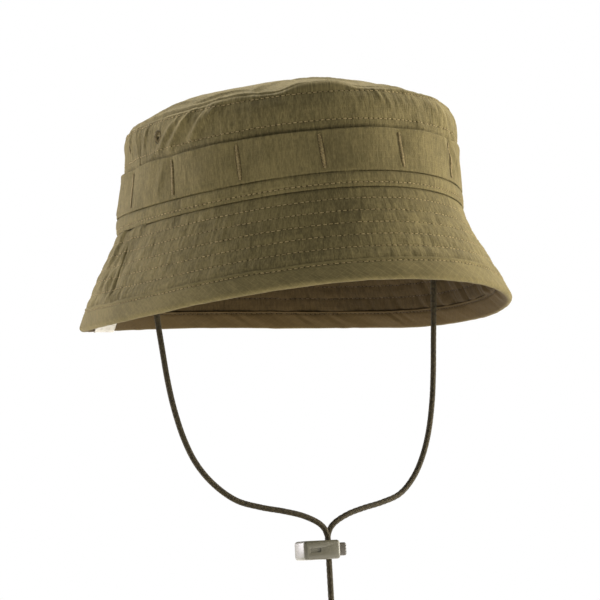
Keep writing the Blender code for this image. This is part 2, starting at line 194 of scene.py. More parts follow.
def crown_point(s, height, offset):
    """Points on the crown wall, offset outwards from its outer face."""
    angle = seam_angle(s)
    spread = offset - wall_inset(height) + crown_lean(s, height)
    lift = seam_lift(s) * ease(height, 49.6 * MM, 51.4 * MM)
    return np.stack([
        (HALF_WIDTH + spread) * np.sin(angle),
        -(HALF_LENGTH + spread) * np.cos(angle),
        height + saddle(angle, height) + lift + 0 * spread], -1)


def brim_bow(s, slant):
    """The brim's sides bow outwards towards the edge."""
    hollow = np.sin(math.pi * np.clip(slant / (28 * MM), 0, 1))
    return 1.7 * MM * near(s, -185, 80) * ease(slant, 0, 30 * MM) \
        + near(s, 105, 70) * (2.6 * MM * (slant / BRIM_SLANT) ** 2 - 1.3 * MM * hollow)


def brim_point(s, slant, offset):
    """Points on the brim, offset outwards from its outer face."""
    angle = seam_angle(s)
    flare = BRIM_FLARE + FLARE_SWING * np.cos(2 * angle) - FLARE_REAR * np.cos(angle)
    level = outward(angle)
    up = np.zeros_like(level)
    up[..., 2] = 1.0
    sine, cosine = np.sin(flare)[..., None], np.cos(flare)[..., None]
    base = np.stack([
        HALF_WIDTH * np.sin(angle), -HALF_LENGTH * np.cos(angle), saddle(angle, 0 * angle)], -1)
    offset = offset + brim_bow(s, slant)
    down = level * sine - up * cosine
    out = level * cosine + up * sine
    return base + down * np.asarray(slant)[..., None] + out * np.asarray(offset)[..., None]


def tip_point(x, y, offset):
    """Points on the tip: x and y from -1 to 1 run across the oval panel."""
    share = np.hypot(x, y)
    angle = np.arctan2(x, -y)
    s = np.interp(np.mod(angle, math.tau), ANGLE_TABLE, ARC_TABLE)
    inset = wall_inset(WALL_HEIGHT) - crown_lean(s, WALL_HEIGHT) * share ** 3
    rise = TIP_RISE * (1 - np.maximum(share, 0.12) ** 3)
    dip = saddle(angle, WALL_HEIGHT) * share ** 4
    front_left = (around(s, 58 * MM) / (42 * MM)) ** 2 + ((share - 0.84) / 0.17) ** 2
    rear_right = (around(s, -160 * MM) / (80 * MM)) ** 2 + ((share - 0.84) / 0.22) ** 2
    full = 1.1 * MM * np.exp(-rear_right) - 2.4 * MM * np.exp(-front_left)
    lift = seam_lift(s) * share ** 10
    return np.stack([
        (HALF_WIDTH - inset) * x, (HALF_LENGTH - inset) * y,
        WALL_HEIGHT + rise + dip + full + lift + offset], -1)


# -------------------------------------------------------------- folds and wrinkles

def ripple(s, h, cell_s, cell_h, seed):
    """Smooth random heights from -1 to 1. They join up all the way round the hat."""
    cells = max(4, round(ROUND / cell_s))
    table = np.random.default_rng(seed).uniform(-1, 1, (cells, 160))
    u = np.mod(np.asarray(s) / ROUND, 1.0) * cells
    v = np.asarray(h) / cell_h + 80
    i, j = np.floor(u).astype(int), np.floor(v).astype(int)
    fu, fv = u - i, v - j
    fu, fv = fu * fu * (3 - 2 * fu), fv * fv * (3 - 2 * fv)
    a, b = i % cells, (i + 1) % cells
    c, d = j % 160, (j + 1) % 160
    low = table[a, c] * (1 - fu) + table[b, c] * fu
    high = table[a, d] * (1 - fu) + table[b, d] * fu
    return low * (1 - fv) + high * fv


def crease(s, h, start, end, width):
    """A soft ridge of height 1 along a line on the cloth. It fades out at both ends."""
    ds, dh = end[0] - start[0], end[1] - start[1]
    length = math.hypot(ds, dh)
    x, y = around(s, start[0]), h - start[1]
    along = (x * ds + y * dh) / length ** 2
    across = (x * dh - y * ds) / length
    fade = np.clip(4 * along * (1 - along), 0, 1) ** 0.7
    return bell(across, width) * fade


def fold(s0, h0, s1, h1, width, height):
    """A fold on the cloth, in millimetres: where it starts and ends, its width and height."""
    return (s0 * MM, h0 * MM), (s1 * MM, h1 * MM), width * MM, height * MM


def add_folds(total, s, h, folds, fade=1.0):
    """A relief with a list of folds on top."""
    for start, end, width, height in folds:
        total = total + height * crease(s, h, start, end, width) * fade
    return total


def groove(h, rows, width):
    """1 on a row of stitching, and 0 a few widths away from it."""
    return sum(bell(h - row, width) for row in rows)


def crinkle(s, h, seed):
    """The fine crinkle of washed ripstop, mostly along the warp."""
    return 0.15 * MM * ripple(s + 0.15 * h, h, 1.7 * MM, 9 * MM, seed) \
        + 0.08 * MM * ripple(s - 0.1 * h, h, 3.1 * MM, 5 * MM, seed + 1)


SIDES = (ROUND / 4, 3 * ROUND / 4)


def wall_relief(s, h):
    """Folds of the crown wall."""
    soft = 0.6 * MM * ripple(s, h, 17 * MM, 22 * MM, 11) \
        + 0.22 * MM * ripple(s + 0.3 * h, h, 7 * MM, 14 * MM, 13)
    row_near = groove(h, WALL_ROWS, 2.4 * MM)
    pucker = 0.18 * MM * ripple(s + 0.5 * h, h, 2.3 * MM, 5 * MM, 12) * row_near
    sewn = -0.22 * MM * groove(h, WALL_ROWS, 0.7 * MM)
    bent = s + 0.5 * MM * ripple(s, h, 40 * MM, 6 * MM, 15)
    seams = sum(-0.3 * MM * bell(around(bent, side), 0.9 * MM) for side in SIDES)
    pressed = -0.6 * MM * bell(h - LOOP_BAND_TOP - 0.6 * MM, 1.1 * MM)
    total = add_folds(soft + crinkle(s, h, 14) + pucker + sewn + seams + pressed, s, h, WALL_FOLDS)
    puff = 0.5 * MM * bell(h - WALL_HEIGHT + 0.8 * MM, 1.4 * MM)
    roll = -1.4 * MM * np.clip((h - WALL_HEIGHT + 1.2 * MM) / (1.2 * MM), 0, 1) ** 2
    return total + puff + roll


WALL_FOLDS = [
    fold(-79, 51, -85, 44, 0.8, 0.6), fold(-83, 51, -90, 43, 0.8, 0.7),
    fold(-89, 51, -96, 42, 0.8, 0.7), fold(-101, 51, -107, 44, 0.9, 0.6),
    fold(-80, 52, -92, 41, 1.5, 0.6), fold(-84, 52, -103, 34, 2.4, 2.2),
    fold(-93, 50, -108, 38, 1.8, 0.7), fold(-98, 52, -119, 33, 2.4, 2.2),
    fold(-110, 49, -130, 32, 2.2, 1.7), fold(-158, 53, -152, 34, 1.4, 0.8),
    fold(-170, 53, -166, 36, 1.6, 0.9), fold(-62, 44, -66, 34, 2.0, 0.5),
    fold(-139, 51, -146, 37, 1.3, 0.9), fold(-126, 36, -140, 31, 1.6, 0.7),
    fold(38, 50, 52, 34, 2.6, 0.9), fold(46, 50, 66, 26, 3.4, 1.4),
    fold(58, 48, 76, 30, 3.0, 1.1), fold(27, 38, 40, 24, 3.4, 0.9),
    fold(2, 52, 7, 43, 1.1, 0.7), fold(8, 49, 12, 39, 1.0, 0.5), fold(-4, 50, -3, 42, 1.2, 0.4),
]


# ------------------------------------------------------------------ mesh builders

def mesh_object(name, points, faces, uv, material, caps=(), holes=None):
    """An object from points, an array of quads and a few larger faces. uv and holes are
    places on the cloth for each corner of the quads."""
    points = points.reshape(-1, 3)
    mesh = bpy.data.meshes.new(name)
    loops = np.concatenate([faces.ravel()] + [np.asarray(cap) for cap in caps])
    sizes = np.concatenate([np.full(len(faces), faces.shape[1]), [len(cap) for cap in caps]])
    mesh.vertices.add(len(points))
    mesh.vertices.foreach_set("co", points.astype(np.float32).ravel())
    mesh.loops.add(len(loops))
    mesh.loops.foreach_set("vertex_index", loops.astype(np.int32))
    mesh.polygons.add(len(sizes))
    starts = np.concatenate([[0], np.cumsum(sizes)[:-1]])
    mesh.polygons.foreach_set("loop_start", starts.astype(np.int32))
    for layer, values in (("cloth", uv), ("holes", holes)):
        if values is not None:
            values = values.reshape(-1, 2)
            spare = np.zeros((len(loops) - len(values), 2))
            mesh.uv_layers.new(name=layer).data.foreach_set(
                "uv", np.concatenate([values, spare]).astype(np.float32).ravel())
    mesh.update(calc_edges=True)
    mesh.validate()
    mesh.shade_smooth()
    mesh.materials.append(material)
    return link(bpy.data.objects.new(name, mesh))


def link(obj):
    bpy.context.scene.collection.objects.link(obj)
    return obj


def solid(name, shape):
    """An object from a bmesh, which is freed."""
    mesh = bpy.data.meshes.new(name)
    shape.to_mesh(mesh)
    shape.free()
    return link(bpy.data.objects.new(name, mesh))


def full_turn(steps):
    """Even angles all the way round, without the last, which is the first again."""
    return np.linspace(0, math.tau, steps, endpoint=False)


def run_along(path):
    """The length along a path at each of its points."""
    return np.concatenate([[0], np.cumsum(np.linalg.norm(np.diff(path, axis=0), axis=1))])


def blunt(value, power):
    """A sine or cosine drawn towards 1 and -1, for a section between an oval and a box."""
    return np.sign(value) * np.abs(value) ** power


def grid_faces(rows, columns, wrap_rows, wrap_columns):
    """Quads of a grid, and each corner's row and column before wrapping."""
    i, j = np.meshgrid(
        np.arange(rows if wrap_rows else rows - 1),
        np.arange(columns if wrap_columns else columns - 1), indexing="ij")
    row = np.stack([i, i, i + 1, i + 1], -1).reshape(-1, 4)
    column = np.stack([j, j + 1, j + 1, j], -1).reshape(-1, 4)
    return (row % rows) * columns + column % columns, row, column


def levels_between(low, high, rows=()):
    """Levels a grain apart from low to high, with three close ones at each row of stitching."""
    step = GRAIN if high > low else -GRAIN
    levels = set(np.linspace(low, high, max(2, round(abs(high - low) / GRAIN)) + 1))
    for row in rows:
        levels = {level for level in levels if abs(level - row) > 0.55 * MM or level in (low, high)}
        levels |= {row - 0.4 * MM, row, row + 0.4 * MM}
    return np.array(sorted(levels, reverse=step < 0))


def punch(s, h, holes):
    """Opens a round hole in a sheet's layout by pushing the cloth out from its middle."""
    for place, height, radius in holes:
        x, y = around(s, place), h - height
        away = np.hypot(x, y)
        reach = 3 * radius
        pushed = np.sqrt(radius ** 2 + away ** 2 * (1 - (radius / reach) ** 2))
        scale = np.where(away < reach, pushed / np.maximum(away, 1e-9), 1.0)
        s, h = s + x * (scale - 1), h + y * (scale - 1)
    return s, h


def ply_layers(surface, s, h, relief, thickness):
    """Rows of points over a ply's outer face, round its last edge, back over its inner
    face and round its first edge, and the height of each on the cloth."""
    way = np.sign(h[-1, 0] - h[0, 0])
    sheets, heights = [surface(s, h, relief)], [h]
    for edge, sign, turns in ((-1, way, (1, 2, 3)), (0, -way, (3, 2, 1))):
        for turn in turns:
            turn = turn * math.pi / 4
            level = h[edge] + sign * math.sin(turn) * thickness / 2
            offset = relief[edge] - thickness / 2 + math.cos(turn) * thickness / 2
            sheets.append(surface(s[edge], level, offset)[None])
            heights.append(level[None])
        if edge == -1:
            sheets.append(surface(s, h, relief - thickness)[::-1])
            heights.append(h[::-1])
    return np.concatenate(sheets), np.concatenate(heights)


def needle_holes(uv, rows):
    """Each corner's place along and across the nearest row of stitching, for the material.
    Along counts stitches, and across is in millimetres."""
    levels = np.array([row for row, count in rows])
    counts = np.array([count for row, count in rows])
    nearest = np.abs(uv[..., 1].mean(1)[:, None] - levels).argmin(1)
    return np.stack([
        uv[..., 0] / ROUND * counts[nearest][:, None],
        (uv[..., 1] - levels[nearest][:, None]) / MM], -1)


def shell(name, surface, levels, outer, thickness, material,
          span=None, columns=AROUND, rows=(), punched=()):
    """A ply of cloth: outer face, inner face and rounded edges. A span makes an open strip,
    rows are its stitching and punched its holes."""
    start, end = span or (0.0, ROUND)
    s = np.linspace(start, end, columns + 1)
    S, H = punch(*np.meshgrid(s, levels), punched)
    points, heights = ply_layers(surface, S, H, outer(S, H), thickness)
    ring = span is None
    if ring:
        points = points[:, :-1]
    tall, wide = points.shape[:2]
    faces, row, column = grid_faces(tall, wide, True, ring)
    u = np.broadcast_to(s, (tall, columns + 1))[row % tall, column]
    uv = np.stack([u, heights[row % tall, column]], -1)
    keep = np.ones(len(faces), bool)
    caps = []
    for place, height, radius in punched:
        i = int(np.searchsorted(levels, height)) - 1
        j = int(((place - start) % ROUND) / (end - start) * columns)
        front, back = i * columns + j, (2 * len(levels) + 1 - i) * columns + j
        keep[[front, back]] = False
        front, back = faces[front], faces[back][::-1]
        for corner in range(4):
            after = (corner + 1) % 4
            caps.append([front[corner], front[after], back[after], back[corner]])
    if not ring:
        caps.append(list(np.arange(tall) * wide))
        caps.append(list(np.arange(tall) * wide + wide - 1)[::-1])
    faces, uv = faces[keep], uv[keep]
    return mesh_object(name, points, faces, uv, material, caps,
                       needle_holes(uv, rows) if rows else None)


def tube_mesh(path, radius, sides, normal=None):
    """Rings of points round one or many paths: (..., steps, 3) to (..., steps, sides, 3)."""
    tangent = np.gradient(path, axis=-2)
    tangent /= np.linalg.norm(tangent, axis=-1, keepdims=True)
    if normal is None:
        normal = np.zeros_like(path)
        guide = np.array([0.0, 1.0, 0.0])
        for step in range(path.shape[-2]):
            guide = guide - tangent[..., step, :] * (guide * tangent[..., step, :]).sum(-1, keepdims=True)
            guide = guide / np.linalg.norm(guide, axis=-1, keepdims=True)
            normal[..., step, :] = guide
    side = np.cross(normal, tangent)
    side /= np.linalg.norm(side, axis=-1, keepdims=True)
    normal = np.cross(tangent, side)
    turn = full_turn(sides)
    ring = side[..., None, :] * np.cos(turn)[:, None] + normal[..., None, :] * np.sin(turn)[:, None]
    return path[..., None, :] + ring * np.asarray(radius)[..., None]


def many_tubes(name, rings, material, flat=None):
    """One object from many closed tubes: (tubes, steps, sides, 3). flat gives the place on
    the cloth for each corner's row and column."""
    count, steps, sides = rings.shape[:3]
    faces, row, column = grid_faces(steps, sides, False, True)
    stride = steps * sides
    lids = np.concatenate([[np.arange(sides)[::-1]], [np.arange(sides) + stride - sides]])
    shift = (np.arange(count) * stride)[:, None, None]
    quads = (faces[None] + shift).reshape(-1, 4)
    caps = (lids[None] + shift).reshape(-1, sides)
    places = flat(row, column) if flat else (column / sides * 2 * MM, row * 0.2 * MM)
    uv = np.tile(np.stack(places, -1).reshape(-1, 2), (count, 1))
    return mesh_object(name, rings, quads, uv, material, caps)


def stitch_rings(place, count, seed, start=0.0, end=None, thread=0.46 * MM, share=0.74):
    """Running stitches from start to end. place(s, lift, across) is a point on the cloth."""
    end = ROUND if end is None else end
    pitch = (end - start) / count
    draw = np.random.default_rng(seed)
    middle = start + (np.arange(count) + 0.5) * pitch + draw.normal(0, 0.03, count) * pitch
    slip = draw.normal(0, 0.06, (count, 1)) * MM
    sunk = np.abs(draw.normal(0, 0.13, (count, 1))) * MM
    t = np.linspace(-1, 1, 9)
    s = middle[:, None] + t * pitch * share / 2 * draw.normal(1, 0.04, (count, 1))
    lift = thread * (0.38 - 0.95 * np.abs(t) ** 5) - sunk
    across = slip + t * draw.normal(0, 0.05, (count, 1)) * MM
    path = place(s, lift, across)
    normal = place(s, lift + MM, across) - path
    radius = thread / 2 * (1 - 0.25 * np.abs(t) ** 4)[None, :, None] + 0 * s[..., None]
    return tube_mesh(path, radius, 6, normal)


def stitch_count(length):
    return round(length / STITCH_PITCH)


# ----------------------------------------------------------------------- materials

class Shading:
    """Builds a material's node tree. Each call adds a node and returns its output as a Signal."""

    def __init__(self, name, color, roughness, metallic=0.0, sheen=0.0, specular=0.5):
        self.material = bpy.data.materials.new(name)
        self.material.use_nodes = True
        self.tree = self.material.node_tree
        self.shader = self.tree.nodes["Principled BSDF"]
        for socket, value in (
                ("Base Color", (*color, 1)), ("Roughness", roughness), ("Metallic", metallic),
                ("Sheen Weight", sheen), ("Sheen Roughness", 0.5), ("Sheen Tint", (*color, 1)),
                ("Specular IOR Level", specular)):
            self.shader.inputs[socket].default_value = value

    def feed(self, socket, value):
        if isinstance(value, Signal):
            self.tree.links.new(value.socket, socket)
        else:
            socket.default_value = value

    def node(self, kind, inputs, output=0, **settings):
        """A node fed with inputs, in the order of its sockets or by name."""
        node = self.tree.nodes.new(kind)
        for key, value in settings.items():
            setattr(node, key, value)
        pairs = inputs.items() if isinstance(inputs, dict) else enumerate(inputs)
        for key, value in pairs:
            self.feed(node.inputs[key], value)
        return Signal(self, node.outputs[output])

    def math(self, operation, *values):
        return self.node("ShaderNodeMath", values, operation=operation)

    def uv(self, layer="cloth"):
        flat = self.node("ShaderNodeUVMap", (), uv_map=layer)
        return [self.node("ShaderNodeSeparateXYZ", [flat], axis) for axis in (0, 1)]

    def place(self):
        """The place on the object, in metres."""
        return self.node("ShaderNodeTexCoord", (), "Object")

    def vector(self, x, y):
        return self.node("ShaderNodeCombineXYZ", (x, y))

    def noise(self, vector, scale, detail=2.0, roughness=0.5):
        return self.node("ShaderNodeTexNoise", {
            "Vector": vector, "Scale": scale, "Detail": detail, "Roughness": roughness})

    def band(self, value, low, high):
        """0 below low, 1 above high."""
        return self.node("ShaderNodeMapRange", (value, low, high, 0.0, 1.0),
                         clamp=True, interpolation_type="SMOOTHSTEP")

    def mix(self, factor, a, b):
        a, b = (value if isinstance(value, Signal) else (*value, 1) for value in (a, b))
        return self.node("ShaderNodeMix", {"Factor": factor, 6: a, 7: b}, 2, data_type="RGBA")

    def scale(self, color, factor):
        """A colour times a grey factor."""
        return self.node("ShaderNodeVectorMath", {0: color, "Scale": factor}, operation="SCALE")

    def bump(self, height):
        """Relief in millimetres."""
        normal = self.node("ShaderNodeBump", {"Strength": 1.0, "Distance": MM, "Height": height})
        self.feed(self.shader.inputs["Normal"], normal)

    def color(self, signal):
        self.feed(self.shader.inputs["Base Color"], signal)
        return self.material


class Signal:
    """A node's output. Arithmetic on it adds nodes."""

    def __init__(self, shade, socket):
        self.shade, self.socket = shade, socket

    def __add__(self, other):
        return self.shade.math("ADD", self, other)

    def __sub__(self, other):
        return self.shade.math("SUBTRACT", self, other)

    def __rsub__(self, other):
        return self.shade.math("SUBTRACT", other, self)

    def __mul__(self, other):
        return self.shade.math("MULTIPLY", self, other)

    def __abs__(self):
        return self.shade.math("ABSOLUTE", self)

    def wave(self, pitch):
        """A sine with this pitch."""
        return self.shade.math("SINE", self * (math.tau / pitch))


def grid_line(shade, value, pitch, width):
    """1 on lines a pitch apart, 0 between them."""
    place = shade.math("FRACT", shade.math("DIVIDE", value, pitch))
    return shade.band(abs(place - 0.5), 0.5 - width / pitch, 0.5)


def brighter(color, factor):
    return tuple(factor * channel for channel in color)


WEAVE_PITCH = 0.55 * MM
RIPSTOP_PITCH = 2.9 * MM
RIPSTOP_WIDTH = 0.24 * MM
DIAGONAL = 0.7071


def fabric(name, color, spread=0.24, grid=0.10, bias=False, crinkled=0.5, sewn=False, head_shade_below=None):
    """Ripstop: a plain weave, a square grid of thicker threads, crinkle and uneven dye.
    Below the height head_shade_below, the side towards the head, the colour is darkened and browned:
    painted shade of the head."""
    shade = Shading(name, color, 0.9, sheen=0.05, specular=0.08)
    u, v = shade.uv()
    head_shade_mask = shade.band(v, head_shade_below, head_shade_below + 3 * MM) if head_shade_below else None
    if bias:
        u, v = (u + v) * DIAGONAL, (v - u) * DIAGONAL
    weave = u.wave(WEAVE_PITCH) * v.wave(WEAVE_PITCH)
    lines = shade.math("MAXIMUM", *(
        grid_line(shade, axis, RIPSTOP_PITCH, RIPSTOP_WIDTH) for axis in (u, v)))
    fleck = shade.noise(shade.vector(u * 4.2, v), 430.0, 3.0, 0.65)
    streak = shade.noise(shade.vector(u * 5.0, v), 120.0)
    patch = shade.noise(shade.vector(u, v), 34.0, 3.0)
    tone = fleck * 0.45 + (streak * 0.30 + patch * 0.25)
    tint = shade.mix(
        shade.band(tone, 0.36, 0.64), brighter(color, 1 - spread), brighter(color, 1 + spread))
    # Painted shade: below that height, towards the head, the colour turns to darker brown tones.
    if head_shade_below:
        tint = shade.mix(head_shade_mask, shade.mix(tone, HEAD_SHADE_OLIVE, brighter(HEAD_SHADE_OLIVE, 1.9)), tint)
    tint = shade.scale(tint, lines * grid + (weave * 0.05 + 1.0))
    height = weave * 0.035 + lines * 0.06 + streak * (0.34 * crinkled) + fleck * (0.16 * crinkled)
    if sewn:
        along, across = shade.uv("holes")
        end = (0.5 - abs(shade.math("FRACT", along) - 0.5)) * (STITCH_PITCH / MM)
        away = shade.math("SQRT", end * end + across * across)
        hole = 1.0 - shade.band(away, 0.16, 0.46)
        height = height - hole * 0.35
        # Painted shade: the colour is darkened in each needle hole, besides the dent in the bump.
        tint = shade.scale(tint, 1.0 - hole * 0.62)
    shade.bump(height)
    return shade.color(tint)


def thread_finish(name, light, dark):
    """Twisted thread."""
    shade = Shading(name, light, 0.75, sheen=0.05, specular=0.12)
    u, v = shade.uv()
    twist = shade.math("SINE", u * (math.tau / MM) + v * (math.tau / (0.5 * MM)))
    patch = shade.noise(shade.place(), 900.0)
    shade.bump(twist * 0.05)
    return shade.color(shade.mix(shade.band(patch, 0.35, 0.65), dark, light))


def braid_finish(name, light, dark):
    """Braided cord: fine yarns along both ways of the braid."""
    shade = Shading(name, light, 0.8, sheen=0.05, specular=0.2)
    u, v = shade.uv()
    yarn = shade.math("MAXIMUM", (u + v).wave(0.35 * MM), (u - v).wave(0.35 * MM))
    level = yarn * 0.2 + shade.noise(shade.place(), 700.0, 3.0)
    shade.bump(yarn * 0.06)
    return shade.color(shade.mix(shade.band(level, 0.3, 0.85), dark, light))


def plastic_finish(name, color):
    """Moulded plastic with a fine spark-eroded texture and slight scuffs."""
    shade = Shading(name, color, 0.42)
    scuff = shade.band(shade.noise(shade.place(), 260.0, 5.0, 0.7), 0.52, 0.72)
    shade.feed(shade.shader.inputs["Roughness"], scuff * 0.2 + 0.36)
    shade.bump(shade.noise(shade.place(), 1600.0, 3.0) * 0.035)
    return shade.color(shade.mix(scuff * 0.35, color, brighter(color, 1.35)))


def satin_finish(name, color):
    """Woven satin label tape: close ribs, a soft gloss, creases and worn, faded stains."""
    shade = Shading(name, color, 0.5, sheen=0.3, specular=0.4)
    u, v = shade.uv()
    flat = shade.vector(u, v)
    stain = shade.band(shade.noise(flat, 75.0, 4.0, 0.6), 0.53, 0.66)
    cloud = shade.noise(flat, 220.0, 3.0)
    tint = shade.mix(stain * 0.75, color, STAIN)
    shade.bump(v.wave(0.35 * MM) * 0.03 + cloud * 0.25)
    return shade.color(shade.scale(tint, cloud * 0.24 + 0.88))


def wire_finish(name, color):
    """Drawn spring wire, with fine die marks along it."""
    shade = Shading(name, color, 0.3, metallic=1.0)
    mark = shade.noise(shade.place(), 2400.0, 3.0)
    shade.feed(shade.shader.inputs["Roughness"], mark * 0.25 + 0.2)
    shade.bump(mark * 0.02)
    return shade.color(shade.mix(mark, brighter(color, 0.8), color))


OLIVE = (0.104, 0.0838, 0.0358)
STAIN = (0.16, 0.125, 0.075)
# Painted shade: the olive darkened and browned as if in the head's shadow.
HEAD_SHADE_OLIVE = (0.031, 0.0202, 0.0074)
SHELL = fabric("shell_ripstop", OLIVE, 0.26)
SHELL_SEWN = fabric("shell_ripstop_sewn", OLIVE, 0.36, crinkled=0.9, sewn=True)
SHELL_SMOOTH = fabric("shell_ripstop_smooth", OLIVE, 0.30, grid=0.08, crinkled=0.45)
# The binding's inner leg is darkened with painted shade of the head.
SHELL_BIAS = fabric("shell_ripstop_bias", OLIVE, 0.20, grid=0.20, bias=True, crinkled=0.25, sewn=True,
                    head_shade_below=BINDING_LEG)
# The under ply is coloured with this painted shade, not with the olive of its cloth.
UNDER = fabric("under_brim_ripstop", HEAD_SHADE_OLIVE, 0.30, crinkled=0.9, sewn=True)
INNER = fabric("inner_tape", (0.13, 0.115, 0.065), 0.22, grid=0.0, crinkled=0.1, sewn=True)
# The darkest thread is painted shade where it stands for needle holes beside the bartacks and eyelets; it
# also colours the stitches under the brim and inside the crown.
THREAD, THREAD_BAR, THREAD_EYELET, THREAD_DARK = (
    thread_finish(name + "_thread", light, dark) for name, light, dark in (
        ("khaki", (0.28, 0.215, 0.100), (0.16, 0.122, 0.054)),
        ("bartack", (0.26, 0.200, 0.092), (0.15, 0.112, 0.050)),
        ("eyelet", (0.20, 0.155, 0.075), (0.105, 0.079, 0.036)),
        ("dark_and_hole_shade", (0.060, 0.040, 0.020), (0.022, 0.015, 0.007))))
BRAID = braid_finish("braided_cord", (0.052, 0.040, 0.017), (0.014, 0.0105, 0.0045))
# Partly painted shade: the sleeve's grey-olive plastic is darkened part way, as if by a chin's shadow on
# it.
PLASTIC_WITH_SHADE = plastic_finish("lock_plastic", (0.086, 0.078, 0.050))
LABEL = satin_finish("label_satin", (0.33, 0.31, 0.265))
STEEL = wire_finish("spring_wire", (0.62, 0.62, 0.60))
# Partly painted shade: the button's dark plastic is made darker still, for the shadow that falls on it.
BUTTON_PLASTIC_WITH_SHADE = plastic_finish("button_plastic", (0.038, 0.031, 0.019))


# -------------------------------------------------------------- camera and light

CAMERA_AZIMUTH = math.radians(26.0)         # round from the front, towards the wearer's right
CAMERA_ELEVATION = math.radians(-5.22)      # a little below the hat
CAMERA_ROLL = math.radians(3.16)
CAMERA_DISTANCE = 1.6
CAMERA_LENS = 182.9
CAMERA_ASIDE = (6.06 * MM, -42.36 * MM)     # how far its axis passes from the hat's origin


def build_camera():
    """A long lens, a little below the hat and round to the wearer's right."""
    data = bpy.data.cameras.new("camera")
    data.lens = CAMERA_LENS
    data.sensor_width = 36.0
    data.clip_end = 20.0
    camera = link(bpy.data.objects.new("camera", data))
    cosine, sine = math.cos(CAMERA_AZIMUTH), math.sin(CAMERA_AZIMUTH)
    level, lift = math.cos(CAMERA_ELEVATION), math.sin(CAMERA_ELEVATION)
    right = Vector((cosine, -sine, 0))
    back = Vector((-sine * level, -cosine * level, lift))
    turn = Matrix((right, back.cross(right), back)).transposed()
    turn = turn @ Matrix.Rotation(-CAMERA_ROLL, 3, "Z")
    place = turn @ Vector((*CAMERA_ASIDE, CAMERA_DISTANCE))
    camera.matrix_world = Matrix.Translation(place) @ turn.to_4x4()
    bpy.context.scene.camera = camera


def area_light(name, place, size, power, color):
    """A soft panel of light that faces the hat's origin."""
    data = bpy.data.lights.new(name, "AREA")
    data.shape = "RECTANGLE"
    data.size, data.size_y = size
    data.energy = power
    data.color = color
    light = link(bpy.data.objects.new(name, data))
    turn = (-Vector(place)).to_track_quat("-Z", "Y").to_matrix().to_4x4()
    light.matrix_world = Matrix.Translation(place) @ turn


ROOM_FILL = 0.450                            # light of the white room on the hat
PANELS = [                                   # name, place, size, power and colour
    ("right_hand_panel", (1.6, -0.3, 0.12), (0.9, 1.4), 89, (1, 0.95, 0.85)),
    ("left_hand_panel", (-1.05, 1.35, 0.4), (0.7, 1.2), 52, (0.99, 0.95, 1)),
    ("top_panel", (0.5, 0.7, 1.7), (1.2, 1.2), 116, (1, 0.97, 0.91)),
]


def build_stage():
    """A pale floor just under the hat, a white room and soft lights."""
    shape = bmesh.new()
    bmesh.ops.create_grid(shape, x_segments=1, y_segments=1, size=1.5)
    floor = solid("floor", shape)
    floor.location.z = CAD_BOX[0][2] - 1.5 * MM
    paper = Shading("floor_paper", (0.86, 0.86, 0.86), 0.9)
    speck = paper.noise(paper.place(), 60.0, 4.0)
    floor.data.materials.append(paper.color(
        paper.mix(speck, (0.84, 0.84, 0.84), (0.88, 0.88, 0.88))))

    world = bpy.data.worlds.new("white_room")
    world.use_nodes = True
    tree = world.node_tree
    seen = tree.nodes["Background"]
    seen.inputs[0].default_value = (1, 1, 1, 1)
    fill = tree.nodes.new("ShaderNodeBackground")
    fill.inputs[0].default_value = (0.96, 0.98, 1.0, 1)
    fill.inputs[1].default_value = ROOM_FILL
    path = tree.nodes.new("ShaderNodeLightPath")
    both = tree.nodes.new("ShaderNodeMixShader")
    for source, target in (
            (path.outputs["Is Camera Ray"], both.inputs[0]), (fill.outputs[0], both.inputs[1]),
            (seen.outputs[0], both.inputs[2]),
            (both.outputs[0], tree.nodes["World Output"].inputs[0])):
        tree.links.new(source, target)
    bpy.context.scene.world = world
    for panel in PANELS:
        area_light(*panel)
    bpy.context.scene.view_settings.view_transform = "Standard"


# ---------------------------------------------------------------------------- cords

def middle_of(node):
    low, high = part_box(node)
    return (low + high) / 2


CORD_DIAMETER = 3.0 * MM
BRAID_LAY = 6.4 * MM                         # length in which a yarn goes once round
MELTED_LENGTH = 1.6 * MM
KNOT_PLACE = middle_of("cord_knot")
KNOT_TURNS = 3.2
STRAND_SHIFT = 1.43 * MM                     # each strand's distance from the lock's middle, along Y
STRANDS_APART = -125.0 * MM
STRANDS_TOGETHER = -163.0 * MM
CORD_ROUTE = [
    (82.4, -4.0, -16.2), (82.1, -4.3, -26.0), (81.1, -4.9, -40.0), (79.9, -5.6, -54.0),
    (78.5, -6.3, -68.0), (76.8, -7.2, -84.0), (74.4, -8.4, -99.0), (70.6, -9.9, -114.0),
    (65.2, -11.7, -127.0), (57.6, -13.8, -138.0), (47.5, -15.9, -146.5),
    (35.5, -18.0, -150.6), (23.5, -19.8, -153.2), (13.0, -21.0, -156.2),
    (4.4, -21.5, -160.8), (0.95, -21.5, -166.4), (0.76, -21.5, -174.0),
    (0.76, -21.5, -188.0), (0.76, -21.5, -204.0), (0.76, -21.5, -221.0),
    (0.76, -21.5, -238.65),
]


def strand(point, side):
    """A route point on one side: -1 is the wearer's right and +1 the left."""
    x, y, z = (MM * value for value in point)
    together = float(ease(-z, -STRANDS_APART, -STRANDS_TOGETHER))
    return Vector((side * x + KNOT_PLACE.x * together, y + side * STRAND_SHIFT * together, z))


def smooth_line(route, pitch):
    """Evenly spaced points on a smooth curve through the points of a route."""
    ends = [route[0] * 2 - route[1]] + route + [route[-1] * 2 - route[-2]]
    fine = []
    for first, start, end, last in zip(ends, ends[1:], ends[2:], ends[3:]):
        for step in range(12):
            t = step / 12
            fine.append(0.5 * (
                2 * start + (end - first) * t
                + (2 * first - 5 * start + 4 * end - last) * t ** 2
                + (3 * start - first - 3 * end + last) * t ** 3))
    fine.append(route[-1])
    fine = np.array([list(point) for point in fine])
    lengths = run_along(fine)
    places = np.linspace(0, lengths[-1], round(lengths[-1] / pitch) + 1)
    return np.stack([np.interp(places, lengths, fine[:, axis]) for axis in range(3)], -1)


